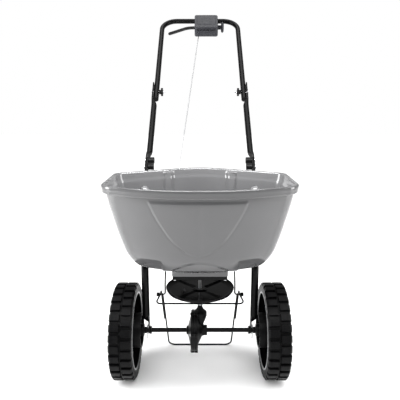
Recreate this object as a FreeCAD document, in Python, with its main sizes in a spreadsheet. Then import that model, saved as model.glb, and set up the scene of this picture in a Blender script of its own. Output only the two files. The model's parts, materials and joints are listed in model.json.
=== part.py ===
import FreeCAD, Part
import math
import os
import re
import Sketcher

# A walk-behind broadcast spreader: a moulded hopper on a bent tube frame with two wheels,
# a bevel gearbox on the axle that spins a spreading disc, and a folding handle that carries
# the lever of the outlet shutter.
# Frame: origin on the floor under the middle of the axle, +X to the right seen from the
# front, -Y to the front, +Y to the handle, +Z up. Millimetres and degrees.

DIMENSIONS = {
    # wheels and axle
    "wheel_radius": 140, "wheel_inner": 185, "wheel_outer": 248.6, "lug_depth": 7,
    "lug_count": 30, "rim_wall": 4, "rim_opening": 110, "tread_wall": 6,
    "drum_radius": 50, "drum_wall": 5, "drum_inner": 171.5, "drum_outer": 238,
    "boss_radius": 18, "boss_inner": 165.3, "boss_outer": 234, "web_inner": 210,
    "web_outer": 220, "spoke_count": 6, "spoke_width": 26, "spoke_turn": 30,
    "cover_radius": 109.7, "cover_inner": 242, "cover_outer": 244.5, "cover_hole": 15.5,
    "clip_radius": 4, "clip_circle": 78, "clip_count": 3,
    "axle_height": 140, "axle_radius": 6.5, "axle_half": 241, "running": 0.05,
    "hub_pin_x": 190, "cotter_x": 155.5, "cotter_radius": 1.6,
    # frame tubes
    "frame_offset": 159, "frame_radius": 11, "tube_wall": 1.6, "frame_plate": 4,
    "frame_knee": 330, "shoulder_y": 52, "handle_angle": 40.6,
    "foot_top": 188, "foot_taper": 16, "foot_flat": 39, "foot_width": 30,
    # folding handle
    "fold_y": 416, "fold_z": 837.6, "fold_to_bar": 451.4, "bow_offset": 154.5,
    "bow_radius": 9.5, "bow_corner": 60, "bow_tail": 37, "plate_inner": 164.5,
    "plate_outer": 168.5, "plate_width": 29, "bolt_radius": 3.2,
    # control box, in the plane of the handle
    "box_left": -22, "box_right": 73, "box_low": -76, "box_high": 14, "box_back": -23,
    "box_front": 22, "box_wall": 3, "pivot_x": 50, "pivot_s": -45, "pin_radius": 3,
    "hook_x": -3, "hook_s": -48,
    # hopper
    "rim_height": 610, "rim_half": 240, "rim_front": -250, "rim_back": 126,
    "skin": 3, "lip_depth": 20, "neck_half_x": 78, "neck_half_y": 60,
    "neck_top": 345, "neck_low": 332, "collar_low": 322,
    # shutter
    "shutter_low": 325.6, "shutter_high": 328.4, "shutter_half": 56, "port_length": 30,
    "port_width": 13,
    # impeller
    "shaft_radius": 4.5, "shaft_low": 160, "shaft_high": 351, "disc_radius": 98.4,
    "disc_top": 279.5, "disc_hub": 20, "disc_low": 262,
    # bevel gears: pitch radii at the large end and tooth counts
    "gear_radius": 50, "pinion_radius": 12.5, "gear_teeth": 40, "pinion_teeth": 10,
    "tooth_face": 16,
    # gearbox
    "drum_left": -26.8, "drum_right": -6.3, "gearbox_radius": 60, "gearbox_wall": 3,
    "gearbox_seam": -16.5,
    # wire stand
    "wire_radius": 2.5, "hanger_x": 104, "hanger_y": 30, "hanger_z": 240,
    "stand_y": 155, "brace_half": 128, "brace_y": -25, "brace_z": 236,
    # control rod
    "rod_radius": 1.5, "rod_behind_y": 165, "rod_behind_z": 610,
}

DOC = FreeCAD.newDocument("spreader")
SHEET = DOC.addObject("Spreadsheet::Sheet", "dims")
for row, (alias, number) in enumerate(DIMENSIONS.items(), start=1):
    SHEET.set("A%d" % row, alias)
    SHEET.set("B%d" % row, str(number))
    SHEET.setAlias("B%d" % row, alias)
DOC.recompute()

NODES = []
X_AXIS = FreeCAD.Vector(1, 0, 0)
Y_AXIS = FreeCAD.Vector(0, 1, 0)
Z_AXIS = FreeCAD.Vector(0, 0, 1)
TURN = {
    "x": FreeCAD.Rotation(Z_AXIS, X_AXIS),
    "y": FreeCAD.Rotation(Z_AXIS, Y_AXIS),
    "z": FreeCAD.Rotation(),
}


def bound(expression):
    """The expression with each alias in it written as a reference to the sheet."""
    return re.sub(
        r"[a-z][a-z_]+",
        lambda word: "dims." + word[0] if word[0] in DIMENSIONS else word[0],
        str(expression),
    )


def value(expression):
    """The number that an expression over the sheet gives."""
    return float(SHEET.evalExpression(bound(expression)))


def node(piece, label):
    """Name a finished sub-part, so that it is checked and exported."""
    piece.Label = label
    NODES.append(piece)
    return piece


# ---------------------------------------------------------------- primitives and booleans


def place(piece, at, rotation):
    piece.Placement.Rotation = rotation
    for letter, distance in zip("xyz", at):
        piece.setExpression("Placement.Base." + letter, bound(distance))
    return piece


def primitive(kind, name, sizes, at, axis):
    piece = DOC.addObject("Part::" + kind, name)
    for key, expression in sizes.items():
        piece.setExpression(key, bound(expression))
    return place(piece, at, TURN[axis])


def cylinder(name, radius, length, at=(0, 0, 0), axis="z"):
    return primitive("Cylinder", name, {"Radius": radius, "Height": length}, at, axis)


def box(name, low, high):
    """A box between two corners."""
    sides = ["(%s) - (%s)" % (b, a) for a, b in zip(low, high)]
    return primitive("Box", name, dict(zip(("Length", "Width", "Height"), sides)), low, "z")


def fuse(name, *pieces):
    joined = DOC.addObject("Part::MultiFuse", name)
    joined.Shapes = list(pieces)
    return joined


def cut(name, base, *tools):
    """The base with one or more tools taken away, one after another."""
    for number, tool in enumerate(tools, start=1):
        step = DOC.addObject("Part::Cut", name if number == len(tools) else "%s_%d" % (name, number))
        step.Base = base
        step.Tool = tool
        base = step
    return base


def group(name, *pieces):
    """Separate solids that share one node."""
    together = DOC.addObject("Part::Compound", name)
    together.Links = list(pieces)
    return together


def mirrored(name, source):
    """The same piece on the other side of the plane X = 0."""
    other = DOC.addObject("Part::Mirroring", name)
    other.Source = source
    other.Normal = X_AXIS
    return other


def pair(name, source):
    """A piece and its mirror image as one group of solids."""
    return group(name, source, mirrored(name + "_other", source))


def on_x(name, radius, start, end, y=0, z="axle_height"):
    """A round bar along X between two distances from the middle."""
    return cylinder(name, radius, "(%s) - (%s)" % (end, start), (start, y, z), "x")


# ---------------------------------------------------------------- sketched bodies


def polygon_sketch(body, plane, corners):
    """A closed outline whose corners are bound to the sheet."""
    sketch = body.newObject("Sketcher::SketchObject", body.Name + "_outline")
    origin = [f for f in body.Origin.OriginFeatures if f.Role == plane][0]
    sketch.AttachmentSupport = (origin, "")
    sketch.MapMode = "FlatFace"
    points = [FreeCAD.Vector(value(a), value(b), 0) for a, b in corners]
    count = len(points)
    for index, point in enumerate(points):
        sketch.addGeometry(Part.LineSegment(point, points[(index + 1) % count]), False)
    for index in range(count):
        sketch.addConstraint(Sketcher.Constraint("Coincident", index, 2, (index + 1) % count, 1))
    for index, corner in enumerate(corners):
        for kind, expression in zip(("DistanceX", "DistanceY"), corner):
            number = value(expression)
            made = sketch.addConstraint(Sketcher.Constraint(kind, -1, 1, index, 1, number))
            sketch.setExpression("Constraints[%d]" % made, bound(expression))
    return sketch


def turned(name, axis, corners, at=(0, 0, 0)):
    """A body of revolution. Corners are (along the axis, distance from it)."""
    body = DOC.addObject("PartDesign::Body", name)
    if axis == "x":
        sketch = polygon_sketch(body, "XY_Plane", corners)
    else:
        sketch = polygon_sketch(body, "XZ_Plane", [(r, z) for z, r in corners])
    turn = body.newObject("PartDesign::Revolution", name + "_turn")
    turn.Profile = sketch
    turn.ReferenceAxis = (sketch, ["H_Axis" if axis == "x" else "V_Axis"])
    turn.Angle = 360
    return place(body, at, FreeCAD.Rotation())


def plate(name, corners, low, high):
    """A flat body between two heights, from an outline in the XY plane."""
    body = DOC.addObject("PartDesign::Body", name)
    sketch = polygon_sketch(body, "XY_Plane", corners)
    pad = body.newObject("PartDesign::Pad", name + "_pad")
    pad.Profile = sketch
    pad.setExpression("Length", bound("(%s) - (%s)" % (high, low)))
    return place(body, (0, 0, low), FreeCAD.Rotation())


# ---------------------------------------------------------------- swept shapes


def feature(name, shape):
    """A sub-part whose shape is made from the sheet's sizes in code."""
    made = DOC.addObject("Part::Feature", name)
    made.Shape = shape
    return made


def route(points, radii):
    """Straight runs joined by tangent arcs, one radius for each inner point."""
    edges = []
    start = points[0]
    for before, corner, after, radius in zip(points, points[1:], points[2:], radii):
        back = (before - corner).normalize()
        ahead = (after - corner).normalize()
        half = back.getAngle(ahead) / 2
        setback = radius / math.tan(half)
        middle = (back + ahead).normalize()
        first = corner + back * setback
        last = corner + ahead * setback
        through = corner + middle * (radius / math.sin(half) - radius)
        edges.append(Part.LineSegment(start, first).toShape())
        edges.append(Part.Arc(first, through, last).toShape())
        start = last
    edges.append(Part.LineSegment(start, points[-1]).toShape())
    return Part.Wire(edges)


def swept(path, radius):
    """A round bar along a route."""
    first = path.Edges[0]
    start = first.FirstParameter
    ring = Part.makeCircle(radius, first.valueAt(start), first.tangentAt(start))
    return path.makePipeShell([Part.Wire(ring)], True, True)


def pipe(path, radius, wall):
    return swept(path, radius).cut(swept(path, radius - wall))


def flattened_end(centre, along, taper, flat, radius, plate_low, plate_high, width):
    """The pressed end of a tube: a taper from round to a flat strip, then the strip."""
    across = X_AXIS.cross(along).normalize()
    split = math.radians(62)
    turns = [split, math.pi - split, math.pi + split, -split]
    round_edges = []
    for first, last in zip(turns, turns[1:] + turns[:1]):
        last = last if last > first else last + 2 * math.pi
        arc = [
            centre + X_AXIS * (radius * math.cos(a)) + across * (radius * math.sin(a))
            for a in (first, (first + last) / 2, last)
        ]
        round_edges.append(Part.Arc(*arc).toShape())
    end = centre + along * taper
    corners = [
        FreeCAD.Vector(x, end.y, end.z) + across * side
        for x, side in (
            (plate_high, width / 2),
            (plate_low, width / 2),
            (plate_low, -width / 2),
            (plate_high, -width / 2),
        )
    ]
    strip = Part.makePolygon(corners + corners[:1])
    neck = Part.makeLoft([Part.Wire(round_edges), strip], True, True)
    return neck.fuse(Part.Face(strip).extrude(along * flat))


# ---------------------------------------------------------------- wheels


def toothed_ring(low, high, phase):
    """One row of tread lugs: a ring with square lugs, from low to high along X."""
    top = value("wheel_radius")
    root = top - value("lug_depth")
    step = 2 * math.pi / value("lug_count")
    corners = []
    for lug in range(int(value("lug_count"))):
        for share, radius in ((0.0, root), (0.04, top), (0.66, top), (0.70, root)):
            angle = (lug + share + phase) * step
            corners.append(FreeCAD.Vector(low, radius * math.cos(angle), radius * math.sin(angle)))
    face = Part.Face(Part.makePolygon(corners + corners[:1]))
    core = Part.makeCylinder(root - 3, high - low, FreeCAD.Vector(low, 0, 0), X_AXIS)
    return face.extrude(X_AXIS * (high - low)).cut(core)


def wheel_blank():
    """The right wheel before its bore: tread, channel rim, spokes, hub drum and boss."""
    centre = (0, 0, "axle_height")
    rim = turned(
        "rim",
        "x",
        [
            ("wheel_inner", "rim_opening"),
            ("wheel_inner", "wheel_radius - lug_depth"),
            ("wheel_outer", "wheel_radius - lug_depth"),
            ("wheel_outer", "rim_opening"),
            ("wheel_outer - rim_wall", "rim_opening"),
            ("wheel_outer - rim_wall", "wheel_radius - lug_depth - tread_wall"),
            ("wheel_inner + rim_wall", "wheel_radius - lug_depth - tread_wall"),
            ("wheel_inner + rim_wall", "rim_opening"),
        ],
        centre,
    )
    middle = (value("wheel_inner") + value("wheel_outer")) / 2
    rows = []
    for name, low, high, phase in (
        ("lugs_in", value("wheel_inner") + 1.5, middle - 2, 0.0),
        ("lugs_out", middle + 2, value("wheel_outer") - 1.5, 0.5),
    ):
        row = feature(name, toothed_ring(low, high, phase))
        rows.append(place(row, centre, FreeCAD.Rotation()))
    drum_ring = cut(
        "drum_ring",
        on_x("drum_outside", "drum_radius", "drum_inner", "drum_outer"),
        on_x("drum_inside", "drum_radius - drum_wall", "drum_inner - 1", "drum_outer + 1"),
    )
    drum_floor = on_x("drum_floor", "drum_radius - 1", "web_inner", "web_outer")
    boss = on_x("boss", "boss_radius", "boss_inner", "boss_outer")
    spokes = []
    reach = value("wheel_radius - lug_depth - 2")
    inside = value("drum_radius - 2")
    for number in range(int(value("spoke_count"))):
        bar = Part.makeBox(
            value("web_outer - web_inner"),
            value("spoke_width"),
            reach - inside,
            FreeCAD.Vector(value("web_inner"), -value("spoke_width") / 2, inside),
        )
        bar.rotate(FreeCAD.Vector(), X_AXIS, value("spoke_turn") + number * 360 / value("spoke_count"))
        spokes.append(place(feature("spoke_%d" % number, bar), centre, FreeCAD.Rotation()))
    return fuse("wheel_blank", rim, *rows, drum_ring, drum_floor, boss, *spokes)


def make_wheels():
    blank = wheel_blank()
    low = "axle_height - drum_radius - 1"
    pin_hole = cylinder("hub_pin_hole", "pin_radius", "drum_radius * 2 + 2", ("hub_pin_x", 0, low))
    drive_bore = on_x("drive_bore", "axle_radius + running", "boss_inner - 1", "boss_outer + 1")
    idle_bore = on_x("idle_bore", "axle_radius + running", "boss_inner - 1", "boss_outer + 1")
    node(cut("wheel_right", blank, drive_bore, pin_hole), "wheel_right")
    node(mirrored("wheel_left", cut("idle_wheel", blank, idle_bore)), "wheel_left")


def make_wheel_covers():
    """A round cover over the outer side of each wheel, on clip posts that stand on its spokes."""
    disc = cut(
        "cover_disc",
        on_x("cover_face", "cover_radius", "cover_inner", "cover_outer"),
        on_x("cover_eye", "cover_hole", "cover_inner - 1", "cover_outer + 1"),
    )
    posts = []
    for number in range(int(value("clip_count"))):
        angle = math.radians(number * 360 / value("clip_count") + value("spoke_turn"))
        side = -value("clip_circle") * math.sin(angle)
        height = value("axle_height") + value("clip_circle") * math.cos(angle)
        posts.append(on_x("clip_%d" % number, "clip_radius", "web_outer", "cover_outer - 1", side, height))
    cover = fuse("wheel_cover_right", disc, *posts)
    node(cover, "wheel_cover_right")
    node(mirrored("wheel_cover_left", cover), "wheel_cover_left")


# ---------------------------------------------------------------- axle


def make_axle():
    length = "axle_half * 2"
    rod = cylinder("axle_rod", "axle_radius", length, ("-axle_half", 0, "axle_height"), "x")
    low = "axle_height - 20"
    hub_hole = cylinder("axle_hub_hole", "pin_radius", 40, ("hub_pin_x", 0, low))
    gear_hole = cylinder("axle_gear_hole", 2, 40, ("-8", 0, low))
    cotter_hole = cylinder("cotter_hole", "cotter_radius", 40, ("cotter_x", 0, low))
    cotter_holes = pair("axle_cotter_holes", cotter_hole)
    node(cut("axle", rod, hub_hole, gear_hole, cotter_holes), "axle")
    bush = fuse(
        "bush_blank",
        on_x("bush_flange", 11.5, 143.5, 147.9),
        on_x("bush_sleeve", 8.5, 147.9, 153.2),
    )
    bushing = cut("axle_bushing_right", bush, on_x("bush_bore", "axle_radius + running", 143, 154))
    node(bushing, "axle_bushing_right")
    node(mirrored("axle_bushing_left", bushing), "axle_bushing_left")
    spacer = cut(
        "spacer",
        on_x("spacer_outside", 9.5, 157.4, "boss_inner - 0.3"),
        on_x("spacer_bore", "axle_radius + running", 157, "boss_inner"),
    )
    node(pair("axle_spacers", spacer), "axle_spacers")
    cap = cut(
        "hub_cap",
        on_x("cap_outside", 15, "boss_outer + 0.5", 245),
        on_x("cap_bore", "axle_radius + 0.02", "boss_outer", "axle_half + 0.1"),
    )
    node(pair("hub_caps", cap), "hub_caps")
    shank = cylinder("cotter_shank", "cotter_radius - 0.05", 36, ("cotter_x", 0, "axle_height - 27"))
    eye_sizes = {"Radius1": 4, "Radius2": 1.2}
    eye = primitive("Torus", "cotter_eye", eye_sizes, ("cotter_x", 0, "axle_height + 13"), "x")
    node(pair("cotter_pins", fuse("cotter_pin", shank, eye)), "cotter_pins")
    pin_low = "axle_height - boss_radius + 0.5"
    hub_pin = cylinder("hub_pin", "pin_radius - 0.02", "boss_radius * 2 - 1", ("hub_pin_x", 0, pin_low))
    gear_pin = cylinder("gear_pin", 1.98, 27, (-8, 0, "axle_height - 13.5"))
    node(group("drive_pins", hub_pin, gear_pin), "drive_pins")


# ---------------------------------------------------------------- bevel gears and impeller


def make_bevel_gear():
    """The large bevel gear: a disc on the axle with straight teeth that face +X."""
    big = value("gear_radius")
    small = value("pinion_radius")
    module = 2 * big / value("gear_teeth")
    shrink = (big - value("tooth_face")) / big
    outline = [
        (-23.5, "axle_radius + running"),
        (-23.5, 13.5),
        (-21.5, 13.5),
        (-21.5, "gear_radius + 2"),
        ("-(pinion_radius + 3.2)", "gear_radius + 2"),
        ("-(pinion_radius + 3.2) * 26 / 52", 26),
        (-3.5, 13.5),
        (-3.5, "axle_radius + running"),
    ]
    blank = turned("gear_blank", "x", outline)
    DOC.recompute()
    teeth = []
    tall = 0.75 * module
    deep = 1.6 * module
    for number in range(int(value("gear_teeth"))):
        corners = []
        for lift, half in ((tall, 0.28 * module), (-deep, 1.0 * module)):
            for side in (-1, 1):
                corners.append((-small + lift, side * half))
        left_top, right_top, left_root, right_root = corners
        ring = [left_top, right_top, right_root, left_root, left_top]
        large = [FreeCAD.Vector(x, y, big) for x, y in ring]
        little = [point * shrink for point in large]
        tooth = Part.makeLoft([Part.makePolygon(large), Part.makePolygon(little)], True, True)
        tooth.rotate(FreeCAD.Vector(), X_AXIS, (number + 0.5) * 360 / value("gear_teeth"))
        teeth.append(tooth)
    shape = blank.Shape.fuse(teeth)
    hole = Part.makeCylinder(2, 60, FreeCAD.Vector(-8, 0, -30))
    gear = feature("bevel_gear", shape.cut(hole))
    node(place(gear, (0, 0, "axle_height"), FreeCAD.Rotation()), "bevel_gear")


def make_pinion():
    """The small bevel gear on the vertical shaft, its teeth pointing to the same apex."""
    big = value("gear_radius")
    small = value("pinion_radius")
    module = 2 * small / value("pinion_teeth")
    shrink = (big - value("tooth_face")) / big
    step = 2 * math.pi / value("pinion_teeth")
    top = small + 0.75 * module
    root = small - 1.15 * module
    large = []
    for number in range(int(value("pinion_teeth"))):
        for share, radius in ((-0.36, root), (-0.13, top), (0.13, top), (0.36, root)):
            angle = math.pi + (number + share) * step
            large.append(FreeCAD.Vector(radius * math.cos(angle), radius * math.sin(angle), big))
    large.append(large[0])
    little = [point * shrink for point in large]
    teeth = Part.makeLoft([Part.makePolygon(large), Part.makePolygon(little)], True, True)
    hub = Part.makeCylinder(8, 6, FreeCAD.Vector(0, 0, big))
    bore = Part.makeCylinder(value("shaft_radius") + 0.02, 40, FreeCAD.Vector(0, 0, big * shrink - 5))
    cross = Part.makeCylinder(1.2, 40, FreeCAD.Vector(0, -20, big + 3), Y_AXIS)
    pinion = feature("pinion", teeth.fuse(hub).cut(bore).cut(cross))
    node(place(pinion, (0, 0, "axle_height"), FreeCAD.Rotation()), "pinion")


def make_impeller():
    shaft = cylinder("shaft_rod", "shaft_radius", "shaft_high - shaft_low", (0, 0, "shaft_low"))
    cross_holes = [
        cylinder("cross_hole_%d" % number, 1.2, 40, (0, -20, height), "y")
        for number, height in enumerate(("axle_height + gear_radius + 3", "disc_low + 3", 343))
    ]
    node(cut("impeller_shaft", shaft, *cross_holes), "impeller_shaft")
    pins = [
        cylinder("cross_pin_%d" % number, 1.18, length, (0, "-(%s) / 2" % length, height), "y")
        for number, (length, height) in enumerate(
            ((15.6, "axle_height + gear_radius + 3"), ("disc_hub * 2 - 1", "disc_low + 3"), (19, 343))
        )
    ]
    node(group("impeller_pins", *pins), "impeller_pins")
    dish = turned(
        "dish",
        "z",
        [
            ("disc_low", "shaft_radius + 0.02"),
            ("disc_low", "disc_hub"),
            ("disc_low + 6", "disc_hub"),
            ("disc_low + 6", "disc_radius - 5"),
            ("disc_top - 8", "disc_radius"),
            ("disc_top", "disc_radius"),
            ("disc_top", "disc_radius - 2.5"),
            ("disc_low + 8.5", "disc_radius - 7"),
            ("disc_low + 8.5", "disc_hub"),
            ("disc_low + 12", "shaft_radius + 5"),
            ("disc_low + 12", "shaft_radius + 0.02"),
        ],
    )
    vanes = []
    for number in range(4):
        vane = Part.makeBox(73, 2.4, 7, FreeCAD.Vector(17, -1.2, value("disc_low + 8")))
        vane.rotate(FreeCAD.Vector(), Z_AXIS, 45 + number * 90)
        vanes.append(feature("vane_%d" % number, vane))
    hole = cylinder("disc_pin_hole", 1.2, 60, (0, -30, "disc_low + 3"), "y")
    node(cut("impeller_disc", fuse("disc_blank", dish, *vanes), hole), "impeller_disc")
    hub = cylinder("agitator_hub", 10, 13, (0, 0, 336.5))
    arms = [
        cylinder("agitator_arm_%d" % number, 3, 26, (x, 0, 346.4), "x")
        for number, x in enumerate((8, -34))
    ]
    bore = cylinder("agitator_bore", "shaft_radius + 0.02", 30, (0, 0, 330))
    cross = cylinder("agitator_cross", 1.2, 40, (0, -20, 343), "y")
    node(cut("agitator", fuse("agitator_blank", hub, *arms), bore, cross), "agitator")


# ---------------------------------------------------------------- gearbox


def make_gearbox():
    middle = (0, 0, "axle_height")
    left_outside = turned(
        "cover_outside",
        "x",
        [
            (-40, 0),
            (-40, 13),
            (-35, 13),
            (-35, 16),
            ("drum_left", 46),
            ("drum_left", "gearbox_radius - 3"),
            ("drum_left + 3", "gearbox_radius"),
            ("gearbox_seam", "gearbox_radius"),
            ("gearbox_seam", 0),
        ],
        middle,
    )
    left_inside = turned(
        "cover_inside",
        "x",
        [
            (-32, 0),
            (-32, 14.5),
            ("drum_left + gearbox_wall", 44),
            ("drum_left + gearbox_wall", "gearbox_radius - gearbox_wall"),
            ("gearbox_seam + 1", "gearbox_radius - gearbox_wall"),
            ("gearbox_seam + 1", 0),
        ],
        middle,
    )
    axle_bore = on_x("cover_bore", "axle_radius + running", -45, 30)
    ears, right_ears, holes, far_holes, screws = [], [], [], [], []
    for number, angle in enumerate((105, 165, 255, 315)):
        y = 61.5 * math.cos(math.radians(angle))
        z = value("axle_height") + 61.5 * math.sin(math.radians(angle))
        length = "gearbox_seam - drum_left"
        ears.append(cylinder("ear_%d" % number, 5.5, length, ("drum_left", y, z), "x"))
        right_ears.append(
            cylinder("far_ear_%d" % number, 5.5, "drum_right - gearbox_seam", ("gearbox_seam", y, z), "x")
        )
        holes.append(cylinder("ear_hole_%d" % number, 1.8, 60, (-40, y, z), "x"))
        far_holes.append(cylinder("far_hole_%d" % number, 1.8, 60, (-40, y, z), "x"))
        shank = cylinder("ear_shank_%d" % number, 1.75, "drum_right - drum_left", ("drum_left", y, z), "x")
        head = cylinder("ear_head_%d" % number, 3.8, 2.4, ("drum_left - 2.4", y, z), "x")
        screws.append(fuse("gearbox_screw_%d" % number, shank, head))
    cover = fuse("cover_blank", left_outside, *ears)
    node(cut("gearbox_cover", cover, left_inside, axle_bore, *holes), "gearbox_cover")
    node(group("gearbox_screws", *screws), "gearbox_screws")
    housing_outside = turned(
        "housing_outside",
        "x",
        [
            ("gearbox_seam", 0),
            ("gearbox_seam", "gearbox_radius"),
            ("drum_right - 3", "gearbox_radius"),
            ("drum_right", "gearbox_radius - 3"),
            ("drum_right", 42),
            (6.3, 17),
            (13, 15.3),
            (21, 15.3),
            (21, 0),
        ],
        middle,
    )
    pinion_outside = turned(
        "pinion_outside",
        "z",
        [(152, 0), (152, 9), (162, 11), (187, 20), (199, 20), (206, 12), (215, 7.4), (220, 7.4), (220, 0)],
    )
    pinion_inside = turned(
        "pinion_inside", "z", [(169, 0), (169, 12.5), (186, 16.5), (197, 16.5), (202, 9), (202, 0)]
    )
    inner_radius = "gearbox_radius - gearbox_wall"
    drum_inside = on_x("housing_inside", inner_radius, "gearbox_seam - 1", "drum_right - gearbox_wall")
    beyond_seam = box("beyond_seam", (-60, -80, 60), ("gearbox_seam", 80, 230))
    pinion_case = cut("pinion_case", pinion_outside, beyond_seam)
    hub_room = turned("hub_room", "x", [(-10, 0), (-10, 46), (-5.5, 33), (-2.6, 18), (-2.6, 0)], middle)
    shaft_bore = cylinder("housing_shaft_bore", "shaft_radius + running", 70, (0, 0, 158))
    far_bore = on_x("housing_bore", "axle_radius + running", -45, 30)
    housing = fuse("housing_blank", housing_outside, pinion_case, *right_ears)
    tools = [shaft_bore, far_bore, pinion_inside, hub_room, drum_inside]
    node(cut("gearbox_housing", housing, *tools, *far_holes), "gearbox_housing")


# ---------------------------------------------------------------- hopper


OUTLET_SCREWS = ((70, 52), (70, -52), (-70, 52), (-70, -52))
HOPPER_BOLT_HEIGHTS = (450, 505)

HOPPER_LEVELS = [
    # height, half width, front, back
    (610, 232, -242, 118),
    (583, 228, -240, 115),
    (503, 213, -211, 108),
    (450, 200, -191, 101),
    (420, 190, -178, 94),
    (382, 164, -150, 84),
    (368, 138, -126, 76),
    (354, 104, -92, 68),
    (345, 80, -64, 62),
]


def hopper_outline(height, half, front, back, inset=0.0):
    """The closed outline of the hopper at one height: a bowed front, straight sides, slanted
    rear corners and a bowed back. All its proportions are those of the rim."""
    half -= inset
    front += inset
    back -= inset
    length = back - front

    def at(across, along):
        return FreeCAD.Vector(across * half, back - along * length, height)

    right = [
        at(0.0, 1.0),
        at(0.46, 0.971),
        at(0.85, 0.872),
        at(0.965, 0.812),
        at(1.0, 0.715),
        at(1.0, 0.345),
        at(0.985, 0.300),
        at(0.93, 0.268),
        at(0.27, 0.045),
        at(0.14, 0.012),
        at(0.0, 0.0),
    ]
    left = [FreeCAD.Vector(-p.x, p.y, p.z) for p in right]
    edges = []
    for side, flip in ((right, False), (left, True)):
        run = [
            Part.Arc(side[0], side[1], side[2]),
            Part.Arc(side[2], side[3], side[4]),
            Part.LineSegment(side[4], side[5]),
            Part.Arc(side[5], side[6], side[7]),
            Part.LineSegment(side[7], side[8]),
            Part.Arc(side[8], side[9], side[10]),
        ]
        shapes = [piece.toShape() for piece in run]
        edges.append(shapes[::-1] if flip else shapes)
    return Part.Wire(edges[0] + edges[1])


def hopper_bulk(inset, top, floor):
    """The solid inside one surface of the hopper, from its rim down to its neck."""
    wires = [hopper_outline(top, *HOPPER_LEVELS[0][1:], inset)]
    for height, half, front, back in HOPPER_LEVELS[1:]:
        wires.append(hopper_outline(height + inset * 0.9, half, front, back, inset))
    bulk = Part.makeLoft(wires, True, True)
    side, deep = value("neck_half_x") - inset, value("neck_half_y") - inset
    top_of_neck = value("neck_top") + 8
    neck = Part.makeBox(2 * side, 2 * deep, top_of_neck - floor, FreeCAD.Vector(-side, -deep, floor))
    return bulk.fuse(neck)


def frame_path():
    """The middle of the right frame tube from above the axle to below the handle joint."""
    x = value("frame_offset")
    angle = math.radians(value("handle_angle"))
    shoulder_z = value("fold_z") - (value("fold_y") - value("shoulder_y")) * math.tan(angle)
    end_y = 118
    end_z = value("fold_z") - (value("fold_y") - end_y) * math.tan(angle)
    return [
        FreeCAD.Vector(x, 0, value("foot_top")),
        FreeCAD.Vector(x, 0, value("frame_knee")),
        FreeCAD.Vector(x, value("shoulder_y"), shoulder_z),
        FreeCAD.Vector(x, end_y, end_z),
    ]


def channel_path():
    """The middle of the moulded channel round the frame tube, up to its domed top."""
    points = frame_path()
    return [points[1] - Z_AXIS * 20, points[1], points[2] + (points[2] - points[1]).normalize() * 22]


def make_hopper():
    skin = value("skin")
    rim = value("rim_height")
    outside = hopper_bulk(0, rim, value("neck_low"))
    inside = hopper_bulk(skin, rim + 1, value("neck_low") - 1)
    lip_low = rim - value("lip_depth")
    lip = [
        hopper_outline(z, value("rim_half"), value("rim_front"), value("rim_back"), 0)
        for z in (lip_low, rim)
    ]
    lip_bulk = Part.makeLoft(lip, True, True)
    under = [
        hopper_outline(z, value("rim_half"), value("rim_front"), value("rim_back"), skin)
        for z in (lip_low - 1, rim - skin)
    ]
    lip_shell = lip_bulk.cut(Part.makeLoft(under, True, True)).cut(inside)
    wall = outside.fuse(lip_shell)
    path = channel_path()
    channel = swept(route(path, [60]), 14.5).fuse(Part.makeSphere(14.5, path[-1]))
    ribs = []
    for side in (1, -1):
        rib = channel if side > 0 else channel.mirror(FreeCAD.Vector(), X_AXIS)
        ribs.append(rib.common(outside))
    wall = wall.cut(inside).fuse(ribs)
    corners = [
        Part.makeCylinder(6, 12, FreeCAD.Vector(x, y, value("neck_low")))
        for x, y in OUTLET_SCREWS
    ]
    lugs = [
        Part.makeBox(10, 20, 24, FreeCAD.Vector(x - 5, 18, 338))
        for x in (-value("hanger_x"), value("hanger_x"))
    ]
    for lug in lugs:
        wall = wall.fuse(lug.cut(inside))
    wall = wall.fuse(corners)
    for side in (1, -1):
        points = frame_path()
        tube = swept(route(points, [80, 60]), 11.6)
        wall = wall.cut(tube if side > 0 else tube.mirror(FreeCAD.Vector(), X_AXIS))
        for height in HOPPER_BOLT_HEIGHTS:
            x = side * value("frame_offset")
            shank = Part.makeCylinder(3.1, 90, FreeCAD.Vector(x, -10, height), Y_AXIS)
            wall = wall.cut(shank)
            in_front = FreeCAD.Vector(x, bolt_front(height) - 30, height)
            wall = wall.cut(Part.makeCylinder(8, 30, in_front, Y_AXIS))
    for x, y in OUTLET_SCREWS:
        wall = wall.cut(Part.makeCylinder(2.0, 20, FreeCAD.Vector(x, y, value("neck_low") - 10)))
    for x in (-value("hanger_x"), value("hanger_x")):
        wire_hole = Part.makeCylinder(value("wire_radius") + 0.1, 60, FreeCAD.Vector(x, 0, 345), Y_AXIS)
        wall = wall.cut(wire_hole)
    node(feature("hopper", wall), "hopper")


def tube_middle(height):
    """How far behind the axle the sloping frame tube's middle is at a height."""
    points = frame_path()
    run = points[2] - points[1]
    return points[1].y + run.y * (height - points[1].z) / run.z


def bolt_front(height):
    return tube_middle(height) - 14.4


def make_hopper_bolts():
    bolts, nuts = [], []
    for side in (1, -1):
        for height in HOPPER_BOLT_HEIGHTS:
            x = side * value("frame_offset")
            front = bolt_front(height)
            tag = "%s_%d" % ("right" if side > 0 else "left", height)
            shank = cylinder("bolt_shank_" + tag, 3, 40, (x, front, height), "y")
            head = cylinder("bolt_head_" + tag, 7, 3, (x, front - 3, height), "y")
            bolts.append(fuse("hopper_bolt_" + tag, shank, head))
            hexagon = {"Circumradius": 6.4, "Height": 5}
            blank = primitive("Prism", "nut_blank_" + tag, hexagon, (x, front + 31, height), "y")
            nut_hole = cylinder("nut_hole_" + tag, 3.02, 9, (x, front + 29, height), "y")
            nuts.append(cut("hopper_nut_" + tag, blank, nut_hole))
    node(group("hopper_bolts", *bolts), "hopper_bolts")
    node(group("hopper_nuts", *nuts), "hopper_nuts")


# ---------------------------------------------------------------- outlet and shutter


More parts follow.
